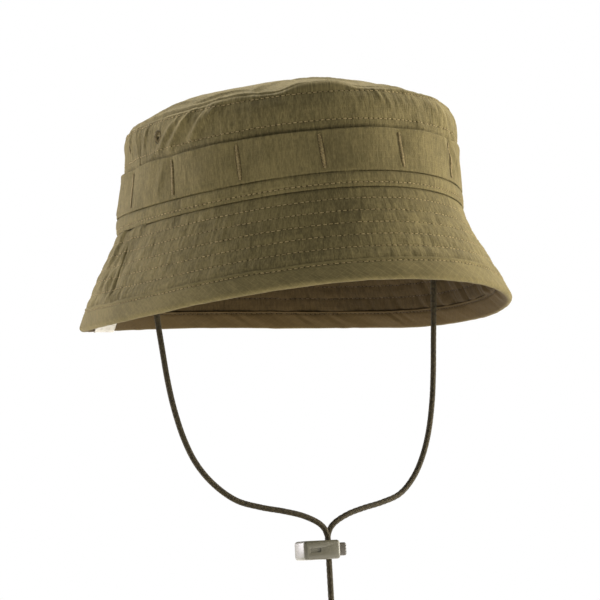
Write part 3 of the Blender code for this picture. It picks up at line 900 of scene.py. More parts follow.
def braided(name, path, sides=32, melted=False):
    """A braided cord along a path, with the yarn bundles of both ways standing out."""
    run = run_along(path)
    turn = full_turn(sides)
    lay = math.tau * run[:, None] / BRAID_LAY
    woven = np.maximum(np.cos(4 * turn + 2 * lay), np.cos(4 * turn - 2 * lay))
    radius = CORD_DIAMETER / 2 * (0.955 + 0.055 * woven)
    if melted:
        end = np.clip((run[-1] - run) / MELTED_LENGTH, 0, 1)[:, None]
        radius = radius * np.sqrt(np.clip(1 - (1 - end) ** 2, 0.02, 1))
    return many_tubes(
        name, tube_mesh(path, radius, sides)[None], BRAID,
        lambda row, column: (column / sides * math.pi * CORD_DIAMETER, run[row]))


def declare(piece, slot, *nodes, body="hat"):
    """Puts a piece on the body that it rides on, and hides the nodes that it stands for. The slot, its
    finish, is not used.
    """
    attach(piece, body)
    if nodes:
        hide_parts(*nodes)
    return piece


def build_cords():
    """The two strands of the chin cord, the knot that joins them and their sealed ends."""
    knot_low, knot_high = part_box("cord_knot")
    t = np.linspace(0, 1, 160)
    turn = math.tau * KNOT_TURNS * t
    tuck = np.interp(np.arange(160), [0, 11, 148, 159], [0.4, 1, 1, 0.4])
    coil = np.stack([
        KNOT_PLACE.x + 3.1 * MM * np.cos(turn) * tuck, KNOT_PLACE.y + 3.4 * MM * np.sin(turn) * tuck,
        knot_high.z - CORD_DIAMETER / 2 - (knot_high.z - knot_low.z - CORD_DIAMETER) * t], -1)
    knot = declare(braided("knot", coil), "cord_braid", "cord_knot")
    for name, side in (("right", -1), ("left", 1)):
        route = [strand(point, side) for point in CORD_ROUTE]
        path = smooth_line(route, 0.3 * MM)
        inside = np.linspace(path[-1], [path[-1][0], path[-1][1], knot_low.z], 40)
        cord = braided("cord_" + name, np.concatenate([path, inside[1:]]))
        declare(cord, "cord_braid", "chin_cord_" + name)
        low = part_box("cord_tip_" + name)[0]
        centre = middle_of("cord_tip_" + name)
        line = np.linspace([centre.x, centre.y, knot_low.z], [centre.x, centre.y, low.z], 46)
        tip = declare(
            braided("cord_end_" + name, line, melted=True), "cord_braid", "cord_tip_" + name)
        length = float(run_along(smooth_line(route, 2 * MM))[-1])


# ----------------------------------------------------------------------------- crown

EYELET_BORE = 1.25 * MM
EYELET_RADIUS = 3.0 * MM
EYELET_HEIGHT = 41.5 * MM
EYELETS = {
    "eyelet_left_front": SIDES[0] - LOOP_PITCH / 2, "eyelet_left_rear": SIDES[0] + LOOP_PITCH / 2,
    "eyelet_right_front": SIDES[1] + LOOP_PITCH / 2, "eyelet_right_rear": SIDES[1] - LOOP_PITCH / 2,
}
EYELET_HOLE = 1.9 * MM                       # cut in the cloth under the thread
BAND_OFFSET = GAP + PLY
FACING_OFFSET = -WALL_CLOTH - GAP
FACING = (33.6 * MM, 48.6 * MM)


def halves():
    """The front and the rear half of a ply, and where each lies along the seam."""
    for name, start in (("front", SIDES[1]), ("rear", SIDES[0])):
        yield name, (start + SEAM_TRIM, start + ROUND / 2 - SEAM_TRIM)


def facing_relief(s, h):
    """The inner strip follows the wall's folds."""
    return FACING_OFFSET + wall_relief(s, h)


def build_walls():
    """The two halves of the crown wall, which meet at the side seams."""
    strip = np.linspace(WALL_ROWS[1] + 0.65 * MM, WALL_HEIGHT - 0.3 * MM, 7)
    levels = levels_between(GAP / 2, WALL_ROWS[1] + 0.4 * MM, WALL_ROWS)
    levels = np.unique(np.concatenate([levels, strip]))
    rows = [(row, stitch_count(ROUND)) for row in WALL_ROWS]
    for name, span in halves():
        holes = [(place, EYELET_HEIGHT, EYELET_HOLE) for eyelet, place in EYELETS.items()
                 if eyelet.endswith(name)]
        wall = shell(
            "wall_" + name, crown_point, levels, wall_relief, WALL_CLOTH, SHELL_SEWN,
            span=span, columns=AROUND // 2, rows=rows, punched=holes)
        declare(wall, "shell_fabric", "crown_side_" + name)

    facing_levels = levels_between(*FACING, [row for row in WALL_ROWS if row < FACING[1]])
    facing = shell(
        "facing", crown_point, facing_levels, facing_relief, PLY, INNER, columns=AROUND // 2,
        rows=rows, punched=[(place, EYELET_HEIGHT, EYELET_HOLE) for place in EYELETS.values()])
    declare(facing, "inner_fabric", "eyelet_facing")


def tip_relief(x, y):
    """Folds of the tip. x and y are in metres from its middle."""
    across, along = HALF_WIDTH, HALF_LENGTH
    share = np.hypot(x / across, y / along)
    s = np.interp(np.mod(np.arctan2(x / across, -y / along), math.tau), ANGLE_TABLE, ARC_TABLE)
    edge = (1 - share) * 90 * MM
    soft = 0.9 * MM * ripple(x, y, 24 * MM, 26 * MM, 31) * np.clip(edge / (6 * MM), 0, 1)
    fine = 0.10 * MM * ripple(x, y, 2.0 * MM, 9 * MM, 33)
    pucker = 0.3 * MM * ripple(s, edge, 4 * MM, 9 * MM, 34) * np.exp(-edge / (7 * MM))
    total = add_folds(soft + fine + pucker, x, y, TIP_FOLDS, ease(edge, 1 * MM, 7 * MM))
    puff = 0.7 * MM * bell(edge - 1.6 * MM, 1.8 * MM)
    roll = -1.5 * MM * np.clip(1 - edge / (1.3 * MM), 0, 1) ** 2
    return total + puff + roll


TIP_FOLDS = [
    fold(-85, 10, -70, -40, 1.4, 1.1), fold(-78, -38, -50, -66, 1.5, 1.5),
    fold(-62, -80, -36, -62, 1.4, 1.5), fold(-58, -76, -26, -62, 1.6, 0.9),
    fold(-30, -68, 6, -88, 2.0, 1.0), fold(12, -92, 52, -70, 2.6, 0.9),
    fold(-40, 10, 20, -40, 3.0, 1.0), fold(50, 30, 30, -50, 3.0, 0.9),
    fold(-20, 80, 40, 50, 2.6, 1.2), fold(-60, 50, -30, 78, 2.2, 1.2),
]


def build_tip():
    """The tip, laid out on a square grid that is rounded to the oval."""
    side = AROUND * 9 // 40 + 1
    p, q = np.meshgrid(np.linspace(-1, 1, side), np.linspace(-1, 1, side))
    x, y = p * np.sqrt(1 - q * q / 2), q * np.sqrt(1 - p * p / 2)
    relief = tip_relief(x * HALF_WIDTH, y * HALF_LENGTH)
    index = np.arange(side * side).reshape(side, side)
    rim = np.concatenate([index[0, :-1], index[:-1, -1], index[-1, :0:-1], index[:0:-1, 0]])
    x, y, relief = x.ravel(), y.ravel(), relief.ravel()
    sheets = [tip_point(x, y, relief), tip_point(x, y, relief - PLY)]
    for turn in (1, 2, 3):
        turn = turn * math.pi / 4
        grow = 1 + math.sin(turn) * PLY / 2 / HALF_WIDTH
        sheets.append(tip_point(
            x[rim] * grow, y[rim] * grow, relief[rim] - PLY / 2 + math.cos(turn) * PLY / 2))
    faces = grid_faces(side, side, False, False)[0]
    quads = [faces, faces[:, ::-1] + len(x)]
    rings = [rim] + [2 * len(x) + ring * len(rim) + np.arange(len(rim)) for ring in range(3)]
    rings.append(rim + len(x))
    for upper, lower in zip(rings, rings[1:]):
        quads.append(np.stack([upper, lower, np.roll(lower, -1), np.roll(upper, -1)], -1))
    quads = np.concatenate(quads)
    flat = np.stack([x * HALF_WIDTH, y * HALF_LENGTH], -1)
    flat = np.concatenate([flat, flat] + [flat[rim]] * 3)
    tip = mesh_object("tip", np.concatenate(sheets), quads, flat[quads], SHELL)
    declare(tip, "shell_fabric", "crown_top")


def build_eyelets():
    """Vent eyelets: a ring of thread wrapped over the edge of the hole, and through both plies."""
    wraps, around_hole, around_thread = 30, 240, 20
    turn, section = np.meshgrid(full_turn(around_hole), full_turn(around_thread), indexing="ij")
    cosine, sine = np.cos(section), np.sin(section)
    ridge = 0.10 * MM * np.cos(wraps * turn + 0.8 * sine)
    uneven = 0.16 * MM * np.sin(5.3 * turn + 1.7) + 0.1 * MM * np.sin(11.7 * turn)
    outer = EYELET_RADIUS + uneven * 0.8
    middle, half = (EYELET_BORE + outer) / 2, (outer - EYELET_BORE) / 2
    depth = (WALL_CLOTH + GAP + PLY) / 2
    radius = middle + (half + ridge) * blunt(cosine, 0.8)
    rise = -depth + (depth + 0.42 * MM + ridge) * blunt(sine, 0.6)
    faces, row, column = grid_faces(around_hole, around_thread, True, True)
    uv = np.stack([row * 0.4 * MM, column * 0.1 * MM], -1)
    # Dark threads round each ring: painted shade of the needle holes.
    mark_turn = np.linspace(0, math.tau, around_hole + 1)
    mark_radius = (0.06 + 0.13 * (0.5 + 0.5 * np.cos(wraps / 2 * mark_turn))) * MM
    marks = []
    for name, place in EYELETS.items():
        place, height = np.array(place), np.array(EYELET_HEIGHT)
        relief = wall_relief(place, height)
        centre = crown_point(place, height, relief)
        side = crown_point(place + MM, height, relief) - centre
        up = crown_point(place, height + MM, relief) - centre
        side, up = side / np.linalg.norm(side), up / np.linalg.norm(up)
        out = np.cross(side, up)

        def circle(angle, radius):
            angle, radius = angle[..., None], np.asarray(radius)[..., None]
            return centre + (side * np.cos(angle) + up * np.sin(angle)) * radius

        points = circle(turn, radius) + out * rise[..., None]
        ring = mesh_object(
            name.replace("eyelet", "eyelet_ring"), points, faces[:, ::-1], uv, THREAD_EYELET)
        declare(ring, "thread", name)
        path = circle(mark_turn, outer.max() + 0.1 * MM) + 0.05 * MM * out
        marks.append(tube_mesh(path, mark_radius[:, None], 6, 0 * path + out))
    declare(many_tubes("eyelet_hole_shade", np.stack(marks), THREAD_DARK), "thread")


# ----------------------------------------------------------------------------- bands

BARTACK_MIDDLE = (LOOP_BAND_BOTTOM + LOOP_BAND_TOP) / 2


def bartack_lean(h):
    """How far along the seam a bartack has moved at a height: they all slant a little."""
    return -1.75 * MM * (h - BARTACK_MIDDLE) / BARTACK_LENGTH


def loops_from_start(s, h):
    """How many loops lie between the first bartack and a place on the band."""
    return (s - bartack_lean(h) - FIRST_BARTACK) / LOOP_PITCH


BAND_SAG = 104                               # millimetres along the seam: a loop hangs lower there


def band_point(s, h, offset):
    """Points on the foliage band: its top edge hangs a little lower in places."""
    share = share_of(h, LOOP_BAND_BOTTOM, LOOP_BAND_TOP)
    sag = 3.4 * MM * near(s, BAND_SAG, 15) \
        + 0.5 * MM * ripple(s, 0 * s, 26 * MM, MM, 50)
    return crown_point(s, h - sag * share ** 2, offset)


def band_relief(s, h):
    """The foliage band: held flat at each bartack, and standing off between them."""
    share = share_of(h, LOOP_BAND_BOTTOM, LOOP_BAND_TOP)
    run = loops_from_start(s, h)
    loop = np.floor(run).astype(int) % LOOPS
    fullness = np.random.default_rng(51).uniform(0.72, 1.12, LOOPS)[loop]
    place = np.mod(run, 1.0) * LOOP_PITCH
    away = np.minimum(place, LOOP_PITCH - place)
    flat = 1.4 * MM
    stand = np.sin(math.pi / 2 * share_of(away, flat, LOOP_PITCH / 2)) ** 0.7
    held = bell(away - 1.5 * MM, 1.1 * MM)
    soft = 0.5 * MM * ripple(s, h, 13 * MM, 16 * MM, 52) * stand
    pulled = 0.22 * MM * ripple(s, h, 2.6 * MM, 2.2 * MM, 53) * held
    hem = 0.22 * MM * bell(h - LOOP_BAND_TOP, 1.8 * MM)
    fine = 0.3 * crinkle(s, h, 54)
    pressed = 1 - 0.85 * near(s, BAND_SAG, 24)
    total = BAND_OFFSET + LOOP_STAND * fullness * stand * pressed * share ** 0.8
    return add_folds(total, s, h, BAND_FOLDS) + soft + pulled + hem + fine


BAND_FOLDS = [
    fold(48, 29, 66, 10, 2.4, 0.9), fold(58, 30, 74, 12, 2.2, 0.8),
    fold(-60, 30, -52, 12, 3.0, 0.6), fold(-120, 29, -126, 10, 2.6, 0.6),
]


def seam_band_relief(s, h):
    share = share_of(h, SEAM_BAND_BOTTOM, SEAM_BAND_TOP)
    puff = 0.55 * MM * np.sin(math.pi * share) ** 0.5
    sewn = -0.35 * MM * groove(h, [BAND_ROW], 0.8 * MM)
    pucker = 0.12 * MM * ripple(s, h, 2.4 * MM, 3 * MM, 56)
    return BAND_OFFSET - 0.25 * MM + puff + sewn + pucker + 0.5 * crinkle(s, h, 57)


def sweatband_relief(s, h):
    return FACING_OFFSET + 0.25 * MM * ripple(s, h, 30 * MM, 18 * MM, 58) \
        + 0.25 * MM * bell(h - SWEATBAND_TOP, 1.6 * MM) - 0.2 * MM


def build_bands():
    """The band of foliage loops, the band over the crown seam and the sweatband."""
    loops = shell(
        "foliage_band", band_point, levels_between(LOOP_BAND_BOTTOM, LOOP_BAND_TOP),
        band_relief, PLY, SHELL_SMOOTH)
    declare(loops, "shell_fabric", "loop_band")
    seam = shell(
        "seam_cover", crown_point, levels_between(SEAM_BAND_BOTTOM, SEAM_BAND_TOP, [BAND_ROW]),
        seam_band_relief, PLY, SHELL_SEWN, rows=[(BAND_ROW, stitch_count(ROUND))])
    declare(seam, "shell_fabric", "seam_band")
    sweat = shell(
        "sweat_tape", crown_point, levels_between(GAP, SWEATBAND_TOP, [SWEATBAND_ROW]),
        sweatband_relief, SWEATBAND_CLOTH, INNER, columns=AROUND // 2,
        rows=[(SWEATBAND_ROW, stitch_count(ROUND))])
    declare(sweat, "inner_fabric", "sweatband")


def band_thread(s, h, lift, radius):
    """A thread that follows the band's face, standing off it by a lift."""
    return tube_mesh(
        band_point(s, h, band_relief(s, h) + lift), radius, 6, outward(seam_angle(s)))


def build_bartacks():
    """Dense zigzag bars of thread between the foliage loops, with dark threads beside them as painted
    shade of their needle holes.
    """
    legs, steps = 46, 6
    t = np.linspace(0, legs, legs * steps + 1)
    h_mark = BARTACK_MIDDLE + np.linspace(-BARTACK_LENGTH / 2, BARTACK_LENGTH / 2, 200)
    draw = np.random.default_rng(61)
    zigzag, marks = [], []
    for loop in range(LOOPS):
        s0 = FIRST_BARTACK + loop * LOOP_PITCH
        swing = np.abs(np.mod(t, 2) - 1) * 2 - 1
        width = 1.0 * MM * (1 - 0.45 * np.abs(t / legs * 2 - 1) ** 6)
        width = width * (1 + 0.08 * np.interp(t, np.arange(legs + 1), draw.normal(0, 1, legs + 1)))
        lean = 0.3 * MM * draw.normal(0, 1)
        h = BARTACK_MIDDLE + (t / legs - 0.5) * BARTACK_LENGTH
        s = s0 + swing * width + lean * (t / legs - 0.5) + bartack_lean(h)
        lift = 0.34 * MM - 0.56 * MM * np.abs(swing) ** 6
        zigzag.append(band_thread(s, h, lift, np.full((len(t), 1), 0.17 * MM)))
        for side in (-1, 1):
            share = (h_mark - BARTACK_MIDDLE) / BARTACK_LENGTH
            bow = 1.16 * MM * (1 - 0.5 * np.abs(2 * share) ** 6)
            s_mark = s0 + side * bow + lean * share + bartack_lean(h_mark)
            knots = 0.5 + 0.5 * np.cos(math.tau * (share * legs / 2 + side / 4))
            radius = (0.05 + 0.10 * knots)[:, None] * MM
            marks.append(band_thread(s_mark, h_mark, 0.01 * MM, radius))
    names = ["bartack_{:02d}".format(loop + 1) for loop in range(LOOPS)]
    bars = many_tubes("bartack_zigzag", np.stack(zigzag), THREAD_BAR)
    declare(bars, "thread", *names)
    declare(many_tubes("bartack_marks", np.stack(marks), THREAD_DARK), "thread")


# ------------------------------------------------------------------------------ brim

UNDER_OFFSET = -(PLY + STIFFENER + 2 * GAP)
UNDER_TAPE = (41 * MM, 46 * MM)              # the plies are flat from here to their edge
BRIM_LINES = [0.0] + BRIM_ROWS + [BINDING_ROW]


def quilting(s, slant, seed, size=1.0):
    """The brim's cloth between its rows of stitching: full, and puckered across."""
    lines = np.array(BRIM_LINES)
    channel = np.clip(np.searchsorted(lines, slant, side="right") - 1, 0, len(lines) - 2)
    low, high = lines[channel], lines[channel + 1]
    share = share_of(slant, low, high)
    full = np.sin(math.pi * share)
    level = channel * 9.0 + share * 1.5
    pucker = ripple(s, level, 2.5 * MM, 1.0, seed) + 0.6 * ripple(s, level, 5.5 * MM, 1.0, seed + 1)
    strength = 0.55 + 0.45 * ripple(s, slant, 45 * MM, 30 * MM, seed + 2)
    return size * (0.36 * MM * full ** 0.7 + 0.36 * MM * pucker * strength * full ** 0.5)


def brim_sweep(s, slant):
    """Slow waves that the whole brim shares, larger towards its edge."""
    share = np.clip(slant / BRIM_SLANT, 0, 1.1)
    return 0.9 * MM * ripple(s, slant, 70 * MM, 90 * MM, 71) * share


def side_seam(s, slant, seed):
    """The brim's side seams, with long pleats beside them, mostly to the rear."""
    total = 0
    for side, rear in zip(SIDES, (1, -1)):
        away = around(s, side)
        bent = away + 0.7 * MM * ripple(s, slant, 60 * MM, 9 * MM, seed + 7)
        total = total - 0.4 * MM * bell(bent, 0.7 * MM) \
            + 0.25 * MM * bell(np.abs(bent) - 2.0 * MM, 1.4 * MM)
        beside = bell(rear * away - 10 * MM, 24 * MM)
        total = total + 1.35 * MM * beside * ripple(s + 0.25 * slant, slant, 3.7 * MM, 15 * MM, seed)
    return total * (1 - ease(slant, *UNDER_TAPE))


def brim_relief(s, slant):
    tucked = -0.8 * MM * bell(slant, 0.9 * MM)
    thinner = -0.45 * MM * ease(slant, 45 * MM, BRIM_SLANT) \
        + 0.5 * MM * bell(slant - 40.5 * MM, 3.2 * MM)
    return brim_sweep(s, slant) + quilting(s, slant, 72) + side_seam(s, slant, 75) \
        + 0.7 * crinkle(s, slant, 76) + tucked + thinner


def under_relief(s, slant):
    """The under ply: its face towards the head is loose, with deeper folds."""
    deep = 1.3 * MM + 2.0 * MM * near(s, 95, 48)
    loose = deep * np.abs(ripple(s + 0.15 * slant, slant, 8 * MM, 60 * MM, 81)) ** 1.4
    thinner = 0.9 * MM * ease(slant, 45 * MM, BRIM_SLANT)
    return UNDER_OFFSET + brim_sweep(s, slant) - quilting(s, slant, 82, 1.2) + thinner \
        - loose * (1 - ease(slant, *UNDER_TAPE)) + side_seam(s, slant, 85) * 0.4


EDGE_RADIUS = 1.65 * MM                      # of the binding's fold round the plies
EDGE_OFFSET = -1.25 * MM
LEG_OFFSETS = (-3.65 * MM, 0.85 * MM)        # of the binding's two edges


def binding_table():
    """The folded tape's section: slant, offset and the way out at each length along it."""
    bend = np.linspace(0, math.pi, 17)
    top = BRIM_SLANT - BINDING_LEG
    slant = np.concatenate([[top], BRIM_SLANT + EDGE_RADIUS * np.sin(bend), [top]])
    offset = np.concatenate([
        [LEG_OFFSETS[0]], EDGE_OFFSET - EDGE_RADIUS * np.cos(bend), [LEG_OFFSETS[1]]])
    run = np.concatenate([[0], np.cumsum(np.hypot(np.diff(slant), np.diff(offset)))])
    along = np.concatenate([[0], np.sin(bend), [0]])
    across = np.concatenate([[-1], -np.cos(bend), [1]])
    return run, slant, offset, along, across


BINDING = binding_table()
BINDING_RUN = float(BINDING[0][-1])
BINDING_ROWS = [EDGE_TO_ROW, BINDING_RUN - EDGE_TO_ROW]     # inside and outside


def binding_point(s, run, offset):
    """Points on the binding tape. run goes from its edge inside, round the brim, to its edge outside."""
    slant, base, along, across = (np.interp(run, BINDING[0], values) for values in BINDING[1:])
    over = np.maximum(run - BINDING_RUN, 0) - np.maximum(-run, 0)
    edge_wave = 0.30 * MM * ripple(s, 0 * s, 16 * MM, MM, 91) * np.clip(run / BINDING_RUN, 0, 1) ** 3
    slant = slant + along * offset - over + edge_wave
    return brim_point(s, slant, base + across * offset + brim_sweep(s, slant))


def binding_relief(s, run):
    twist = 0.16 * MM * ripple(s + 0.9 * run, run, 4.5 * MM, 8 * MM, 92)
    sewn = -0.38 * MM * groove(run, BINDING_ROWS, 0.7 * MM)
    edge = 0.15 * MM * groove(run, [0.3 * MM, BINDING_RUN - 0.3 * MM], 0.8 * MM)
    soft = 0.25 * MM * ripple(s, run, 22 * MM, 12 * MM, 93)
    pucker = 0.10 * MM * ripple(s, run, 2.8 * MM, 2 * MM, 94) \
        * groove(run, BINDING_ROWS, 2.0 * MM)
    loose = np.sin(math.pi * np.clip(run / BINDING_LEG, 0, 1)) \
        * 1.3 * MM * np.abs(ripple(s + 0.9 * run, run, 7 * MM, 40 * MM, 95)) ** 1.3
    return 0.15 * MM + twist + sewn + edge + soft + pucker + loose


def brim_stitches(slant):
    """How many stitches a row round the brim has."""
    return stitch_count(ROUND + slant * math.sin(BRIM_FLARE) * math.tau)


def brim_rows():
    """Each row of brim stitching, and how many stitches it has."""
    return [(row, brim_stitches(row)) for row in BRIM_ROWS]


def build_brim():
    """Outer ply, under ply and stiffener, with the binding folded over their edge."""
    levels = levels_between(BRIM_SLANT, GAP / 2, BRIM_ROWS)
    for name, span in halves():
        for ply, relief, material, slot, node in (
                ("brim_outer_", brim_relief, SHELL_SEWN, "shell_fabric", "brim_upper_"),
                ("brim_under_", under_relief, UNDER, "under_brim_fabric", "brim_lower_")):
            half = shell(ply + name, brim_point, levels, relief, PLY, material,
                         span=span, columns=AROUND // 2, rows=brim_rows())
            declare(half, slot, node + name)
    stiffener = shell(
        "interlining", brim_point, np.linspace(UNDER_TAPE[1], GAP, 24),
        lambda s, h: -PLY - GAP + brim_sweep(s, h), STIFFENER, INNER, columns=AROUND // 4)
    declare(stiffener, "inner_fabric", "brim_stiffener")
    binding = shell(
        "edge_binding", binding_point, levels_between(0.0, BINDING_RUN, BINDING_ROWS),
        binding_relief, PLY, SHELL_BIAS, rows=[(row, brim_stitches(BRIM_SLANT)) for row in BINDING_ROWS])
    declare(binding, "shell_fabric", "brim_binding")


# -------------------------------------------------------------------------- stitching

def on(surface, level, relief, way=1, depth=0.0):
    """A place for stitches: a row at a level of a surface, on its face (1) or its back (-1)."""
    def place(s, lift, across):
        height = level + across
        return surface(s, height, relief(s, level + 0 * s) - depth + way * lift)
    return place


def build_stitching():
    """Rows of running stitches, in groups that share a piece."""
    circle, edge = stitch_count(ROUND), brim_stitches(BRIM_SLANT)
    groups = {
        "stitches_wall": (THREAD, [
            (on(crown_point, row, wall_relief), circle) for row in WALL_ROWS]),
        "stitches_seam": (THREAD, [(on(crown_point, BAND_ROW, seam_band_relief), circle)]),
        "stitches_brim": (THREAD, [
            (on(brim_point, row, brim_relief), count) for row, count in brim_rows()]),
        "stitches_under": (THREAD_DARK, [
            (on(brim_point, row, under_relief, -1, PLY), count) for row, count in brim_rows()] + [
            (on(binding_point, BINDING_ROWS[0], binding_relief), edge)]),
        "stitches_binding": (THREAD, [
            (on(binding_point, BINDING_ROWS[1], binding_relief), edge)]),
        "stitches_inside": (THREAD_DARK, [
            (on(crown_point, WALL_ROWS[0], facing_relief, -1, PLY), circle),
            (on(crown_point, SWEATBAND_ROW, sweatband_relief, -1, SWEATBAND_CLOTH), circle)]),
    }
    for seed, (name, (material, rows)) in enumerate(groups.items()):
        rings = np.concatenate([
            stitch_rings(place, count, 100 + 10 * seed + number)
            for number, (place, count) in enumerate(rows)])
        declare(many_tubes(name, rings, material), "thread")


# ------------------------------------------------------------------- label and tabs

LABEL_WIDTH = 34.0 * MM
LABEL_LENGTH = 52.0 * MM
LABEL_DROP = 1.5 * MM
LABEL_PLACE = 34.2 / 56 * ROUND              # at the rear on the wearer's right
LABEL_OFFSET = -4.65 * MM
LABEL_CLOTH = 0.35 * MM
LABEL_ROW = LABEL_DROP + 1.8 * MM


def label_point(x, slant, offset):
    """Points on the care label. x runs across it from its middle line."""
    spread = 1 + slant * math.tau * math.sin(BRIM_FLARE) / ROUND
    return brim_point(LABEL_PLACE + x / spread, slant, LABEL_OFFSET + offset)


def label_relief(x, slant):
    """The label hangs in slow waves, and its loose corners curl towards the head."""
    loose = ease(slant, 6 * MM, 40 * MM)
    wave = -0.7 * MM * loose * (1 + ripple(x, slant, 16 * MM, 24 * MM, 111))
    corner = np.abs(x) / (LABEL_WIDTH / 2) * ease(slant, 30 * MM, 54 * MM)
    crumple = 0.12 * MM * ripple(x + 0.4 * slant, slant, 4 * MM, 6 * MM, 112)
    sewn = -0.12 * MM * groove(slant, [LABEL_ROW], 0.8 * MM)
    hem = -0.15 * MM * groove(slant, [LABEL_DROP + LABEL_LENGTH - 1.5 * MM], 1.2 * MM)
    return wave - 0.9 * MM * corner ** 2 + crumple + sewn + hem - 0.1 * MM


def build_label():
    """The satin care label under the sweatband's edge. It carries no print."""
    end = LABEL_DROP + LABEL_LENGTH
    label = shell(
        "care_label_satin", label_point, levels_between(end, LABEL_DROP, [LABEL_ROW]),
        label_relief, LABEL_CLOTH, LABEL, span=(-LABEL_WIDTH / 2, LABEL_WIDTH / 2), columns=60)
    declare(label, "label_fabric", "care_label")
    row = stitch_rings(
        on(label_point, LABEL_ROW, label_relief, -1, LABEL_CLOTH), 14, 170,
        -LABEL_WIDTH / 2 + MM, LABEL_WIDTH / 2 - MM, thread=0.36 * MM)
    stitches = declare(many_tubes("stitches_label", row, THREAD), "thread")


TAB_ROWS = [5.6 * MM, 2.6 * MM]              # heights of the tab's stitching from its middle
TAB_ROW_HALF = 4.2 * MM


def tab_thickness(y, z, seed):
    """From the tab's middle plane to its face, at a place given from its middle."""
    bulge = 1.0 * MM * bell(y, 1.9 * MM) * ease(-z, -3 * MM, 4 * MM)
    rows = groove(z, TAB_ROWS, 0.6 * MM) * (np.abs(y) < TAB_ROW_HALF)
    crumple = 0.10 * MM * ripple(y + 0.3 * z, z + seed * 30 * MM, 2.4 * MM, 4 * MM, 115)
    return 0.75 * MM + bulge - 0.22 * MM * rows + crumple


def build_tabs():
    """Folded tape that holds each cord's end, bulging round the cord inside it."""
    turns = 96
    turn, level = np.meshgrid(full_turn(turns), np.sin(np.linspace(-math.pi / 2, math.pi / 2, 72)))
    cosine, sine = np.cos(turn), np.sin(turn)
    for seed, (name, side) in enumerate((("right", -1), ("left", 1))):
        low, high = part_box("cord_tab_" + name)
        middle, half = (low + high) / 2, (high - low) / 2
        y = half.y * blunt(cosine, 0.5)
        z = half.z * level
        thick = tab_thickness(y, z, seed) * np.sqrt(np.clip(1 - level ** 12, 0.0, 1))
        x = thick * blunt(sine, 0.5)
        points = np.stack([middle.x + x, middle.y + y, middle.z + z], -1)
        tab = many_tubes("tape_tab_" + name, points[None], SHELL_SMOOTH, lambda row, column: (
            y[row, column % turns], z[row, column % turns]))
        declare(tab, "shell_fabric", "cord_tab_" + name)

        rings = []
        for height in TAB_ROWS:
            def place(y, lift, across):
                z = height + across
                thick = tab_thickness(y, z, seed) + lift
                return np.stack([middle.x - side * thick, middle.y + y, middle.z + z], -1)
            rings.append(stitch_rings(
                place, 4, 180 + seed, -TAB_ROW_HALF, TAB_ROW_HALF, thread=0.4 * MM))
        declare(many_tubes("stitches_tab_" + name, np.concatenate(rings), THREAD), "thread")


# ------------------------------------------------------------------------- cord lock

LOCK_PLACE = Vector((KNOT_PLACE.x, KNOT_PLACE.y, middle_of("lock_body").z))
SLEEVE_WALL = 1.2 * MM
CAVITY_END = -15.2 * MM                      # along X from the strands
SLOT_HALF = (2.6 * MM, 3.35 * MM)
WINDOW = (-13.4 * MM, -7.4 * MM)             # a window's ends along X
WINDOW_HALF = 1.1 * MM
WINDOW_DEPTH = 0.7 * MM
THROUGH = 10 * MM                            # half the length of a cutter that goes right through
BUTTON_TRAVEL = 3.0 * MM
DISH_RADIUS = 12.0 * MM
DISH_DEPTH = 0.6 * MM
GRIP_LINES = (-1.6 * MM, 0.0, 1.6 * MM)
SPRING_RADIUS = 2.4 * MM
SPRING_WIRE = 0.5 * MM
SPRING_TURNS = 6.25
SPRING_CLOSED = 0.16                         # share of the wire in the closed turn at each end


def rounded_block(name, low, high, width, upright=False):
    """A block between two corners, given from the lock's place, with rounded edges."""
    low, high = Vector(low), Vector(high)
    shape = bmesh.new()
    bmesh.ops.create_cube(shape, size=1.0)
    bmesh.ops.scale(shape, vec=high - low, verts=shape.verts)
    bmesh.ops.translate(shape, vec=(low + high) / 2 + LOCK_PLACE, verts=shape.verts)
    edges = [edge for edge in shape.edges
             if not upright or abs((edge.verts[0].co - edge.verts[1].co).z) > MM]
    if width:
        bmesh.ops.bevel(shape, geom=edges, offset=width, segments=5, profile=0.5, affect="EDGES")
    return solid(name, shape)


def drum(name, place, axis, radius, length):
    """A round cutter about an axis."""
    shape = bmesh.new()
    turn = Vector(axis).to_track_quat("Z", "Y").to_matrix().to_4x4()
    bmesh.ops.create_cone(
        shape, cap_ends=True, segments=64, radius1=radius, radius2=radius, depth=length,
        matrix=Matrix.Translation(LOCK_PLACE + Vector(place)) @ turn)
    return solid(name, shape)


def carve(obj, cutters, edge, material):
    """Take the cutters out of a block, and soften the edges that they leave."""
    for cutter in cutters:
        boolean = obj.modifiers.new(cutter.name, "BOOLEAN")
        boolean.operation = "DIFFERENCE"
        boolean.object = cutter
    soften = obj.modifiers.new("soften", "BEVEL")
    soften.width = edge
    soften.segments = 2
    soften.angle_limit = math.radians(40)
    graph = bpy.context.evaluated_depsgraph_get()
    mesh = bpy.data.meshes.new_from_object(obj.evaluated_get(graph))
    obj.modifiers.clear()
    obj.data = mesh
    for cutter in cutters:
        bpy.data.objects.remove(cutter)
    mesh.materials.clear()
    mesh.materials.append(material)
    mesh.shade_smooth()
    mesh.set_sharp_from_angle(angle=math.radians(32))


def strand_slot(longer=0.0):
    """A cutter for the strands' way through a piece. It may be longer towards +X."""
    x, y = SLOT_HALF
    return rounded_block(
        "slot", (-x, -y, -THROUGH), (x + longer, y, THROUGH), 1.0 * MM, upright=True)


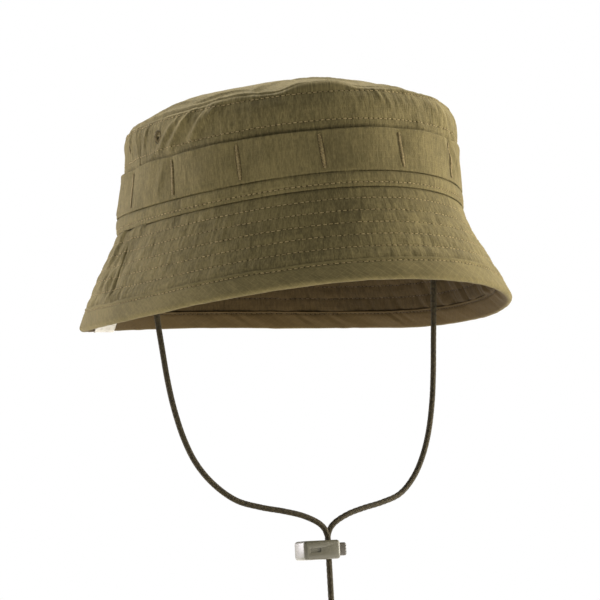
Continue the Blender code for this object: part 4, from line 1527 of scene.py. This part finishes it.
def build_sleeve():
    """The lock's moulded sleeve, with a slot for the strands and a window in each broad side."""
    low, high = (corner - LOCK_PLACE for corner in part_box("lock_body"))
    wall = Vector((0, SLEEVE_WALL, SLEEVE_WALL))
    body = rounded_block("lock_sleeve", low, high, 1.7 * MM)
    room = rounded_block(
        "room", (CAVITY_END, *(low + wall).yz), (high.x + 5 * MM, *(high - wall).yz), 0.5 * MM)
    cutters = [room, strand_slot()]
    for way in (-1, 1):
        cutters.append(drum("mouth", (0, 0, way * (high.z + 2.2 * MM)), (0, 1, 0), 3.2 * MM, 8.4 * MM))
        cutters.append(rounded_block(
            "window", (WINDOW[0], way * high.y - WINDOW_DEPTH, -WINDOW_HALF),
            (WINDOW[1], way * high.y + WINDOW_DEPTH, WINDOW_HALF), 0.35 * MM))
    carve(body, cutters, 0.14 * MM, PLASTIC_WITH_SHADE)
    declare(body, "lock_plastic", "lock_body", body="cord_lock")


def build_button():
    """The button, with a dished end for the thumb and three grip lines across it."""
    low, high = (corner - LOCK_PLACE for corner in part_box("lock_button"))
    button = rounded_block("lock_plunger", low, high, 1.1 * MM)
    cutters = [strand_slot(BUTTON_TRAVEL), drum(
        "dish", (high.x + DISH_RADIUS - DISH_DEPTH, 0, 0), (0, 0, 1), DISH_RADIUS, 2 * THROUGH)]
    for place in GRIP_LINES:
        cutters.append(drum(
            "grip", (high.x - 0.5 * MM, 0, place), (0, 1, 0), 0.35 * MM, 2 * THROUGH))
    carve(button, cutters, 0.12 * MM, BUTTON_PLASTIC_WITH_SHADE)
    declare(button, "lock_plastic", "lock_button", body="lock_button")


def build_spring():
    """The spring behind the button: open coils, with a closed turn at each end."""
    low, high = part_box("lock_spring")
    length = high.x - low.x - SPRING_WIRE
    pitch = SPRING_WIRE / length
    t = np.linspace(0, 1, 420)
    rise = np.interp(t, [0, SPRING_CLOSED, 1 - SPRING_CLOSED, 1], [0, pitch, 1 - pitch, 1])
    turn = math.tau * SPRING_TURNS * t
    path = np.stack([
        low.x + SPRING_WIRE / 2 + length * rise,
        LOCK_PLACE.y + SPRING_RADIUS * np.cos(turn),
        LOCK_PLACE.z + SPRING_RADIUS * np.sin(turn)], -1)
    rings = tube_mesh(path, np.full((len(t), 1), SPRING_WIRE / 2), 12)
    spring = many_tubes("return_spring", rings[None], STEEL)
    declare(spring, "spring_steel", "lock_spring", body="cord_lock")
    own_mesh(spring)


# ------------------------------------------------------------------------------ run

build_camera()
build_stage()
build_cords()
build_walls()
build_tip()
build_eyelets()
build_bands()
build_bartacks()
build_brim()
build_stitching()
build_label()
build_tabs()
build_sleeve()
build_button()
build_spring()
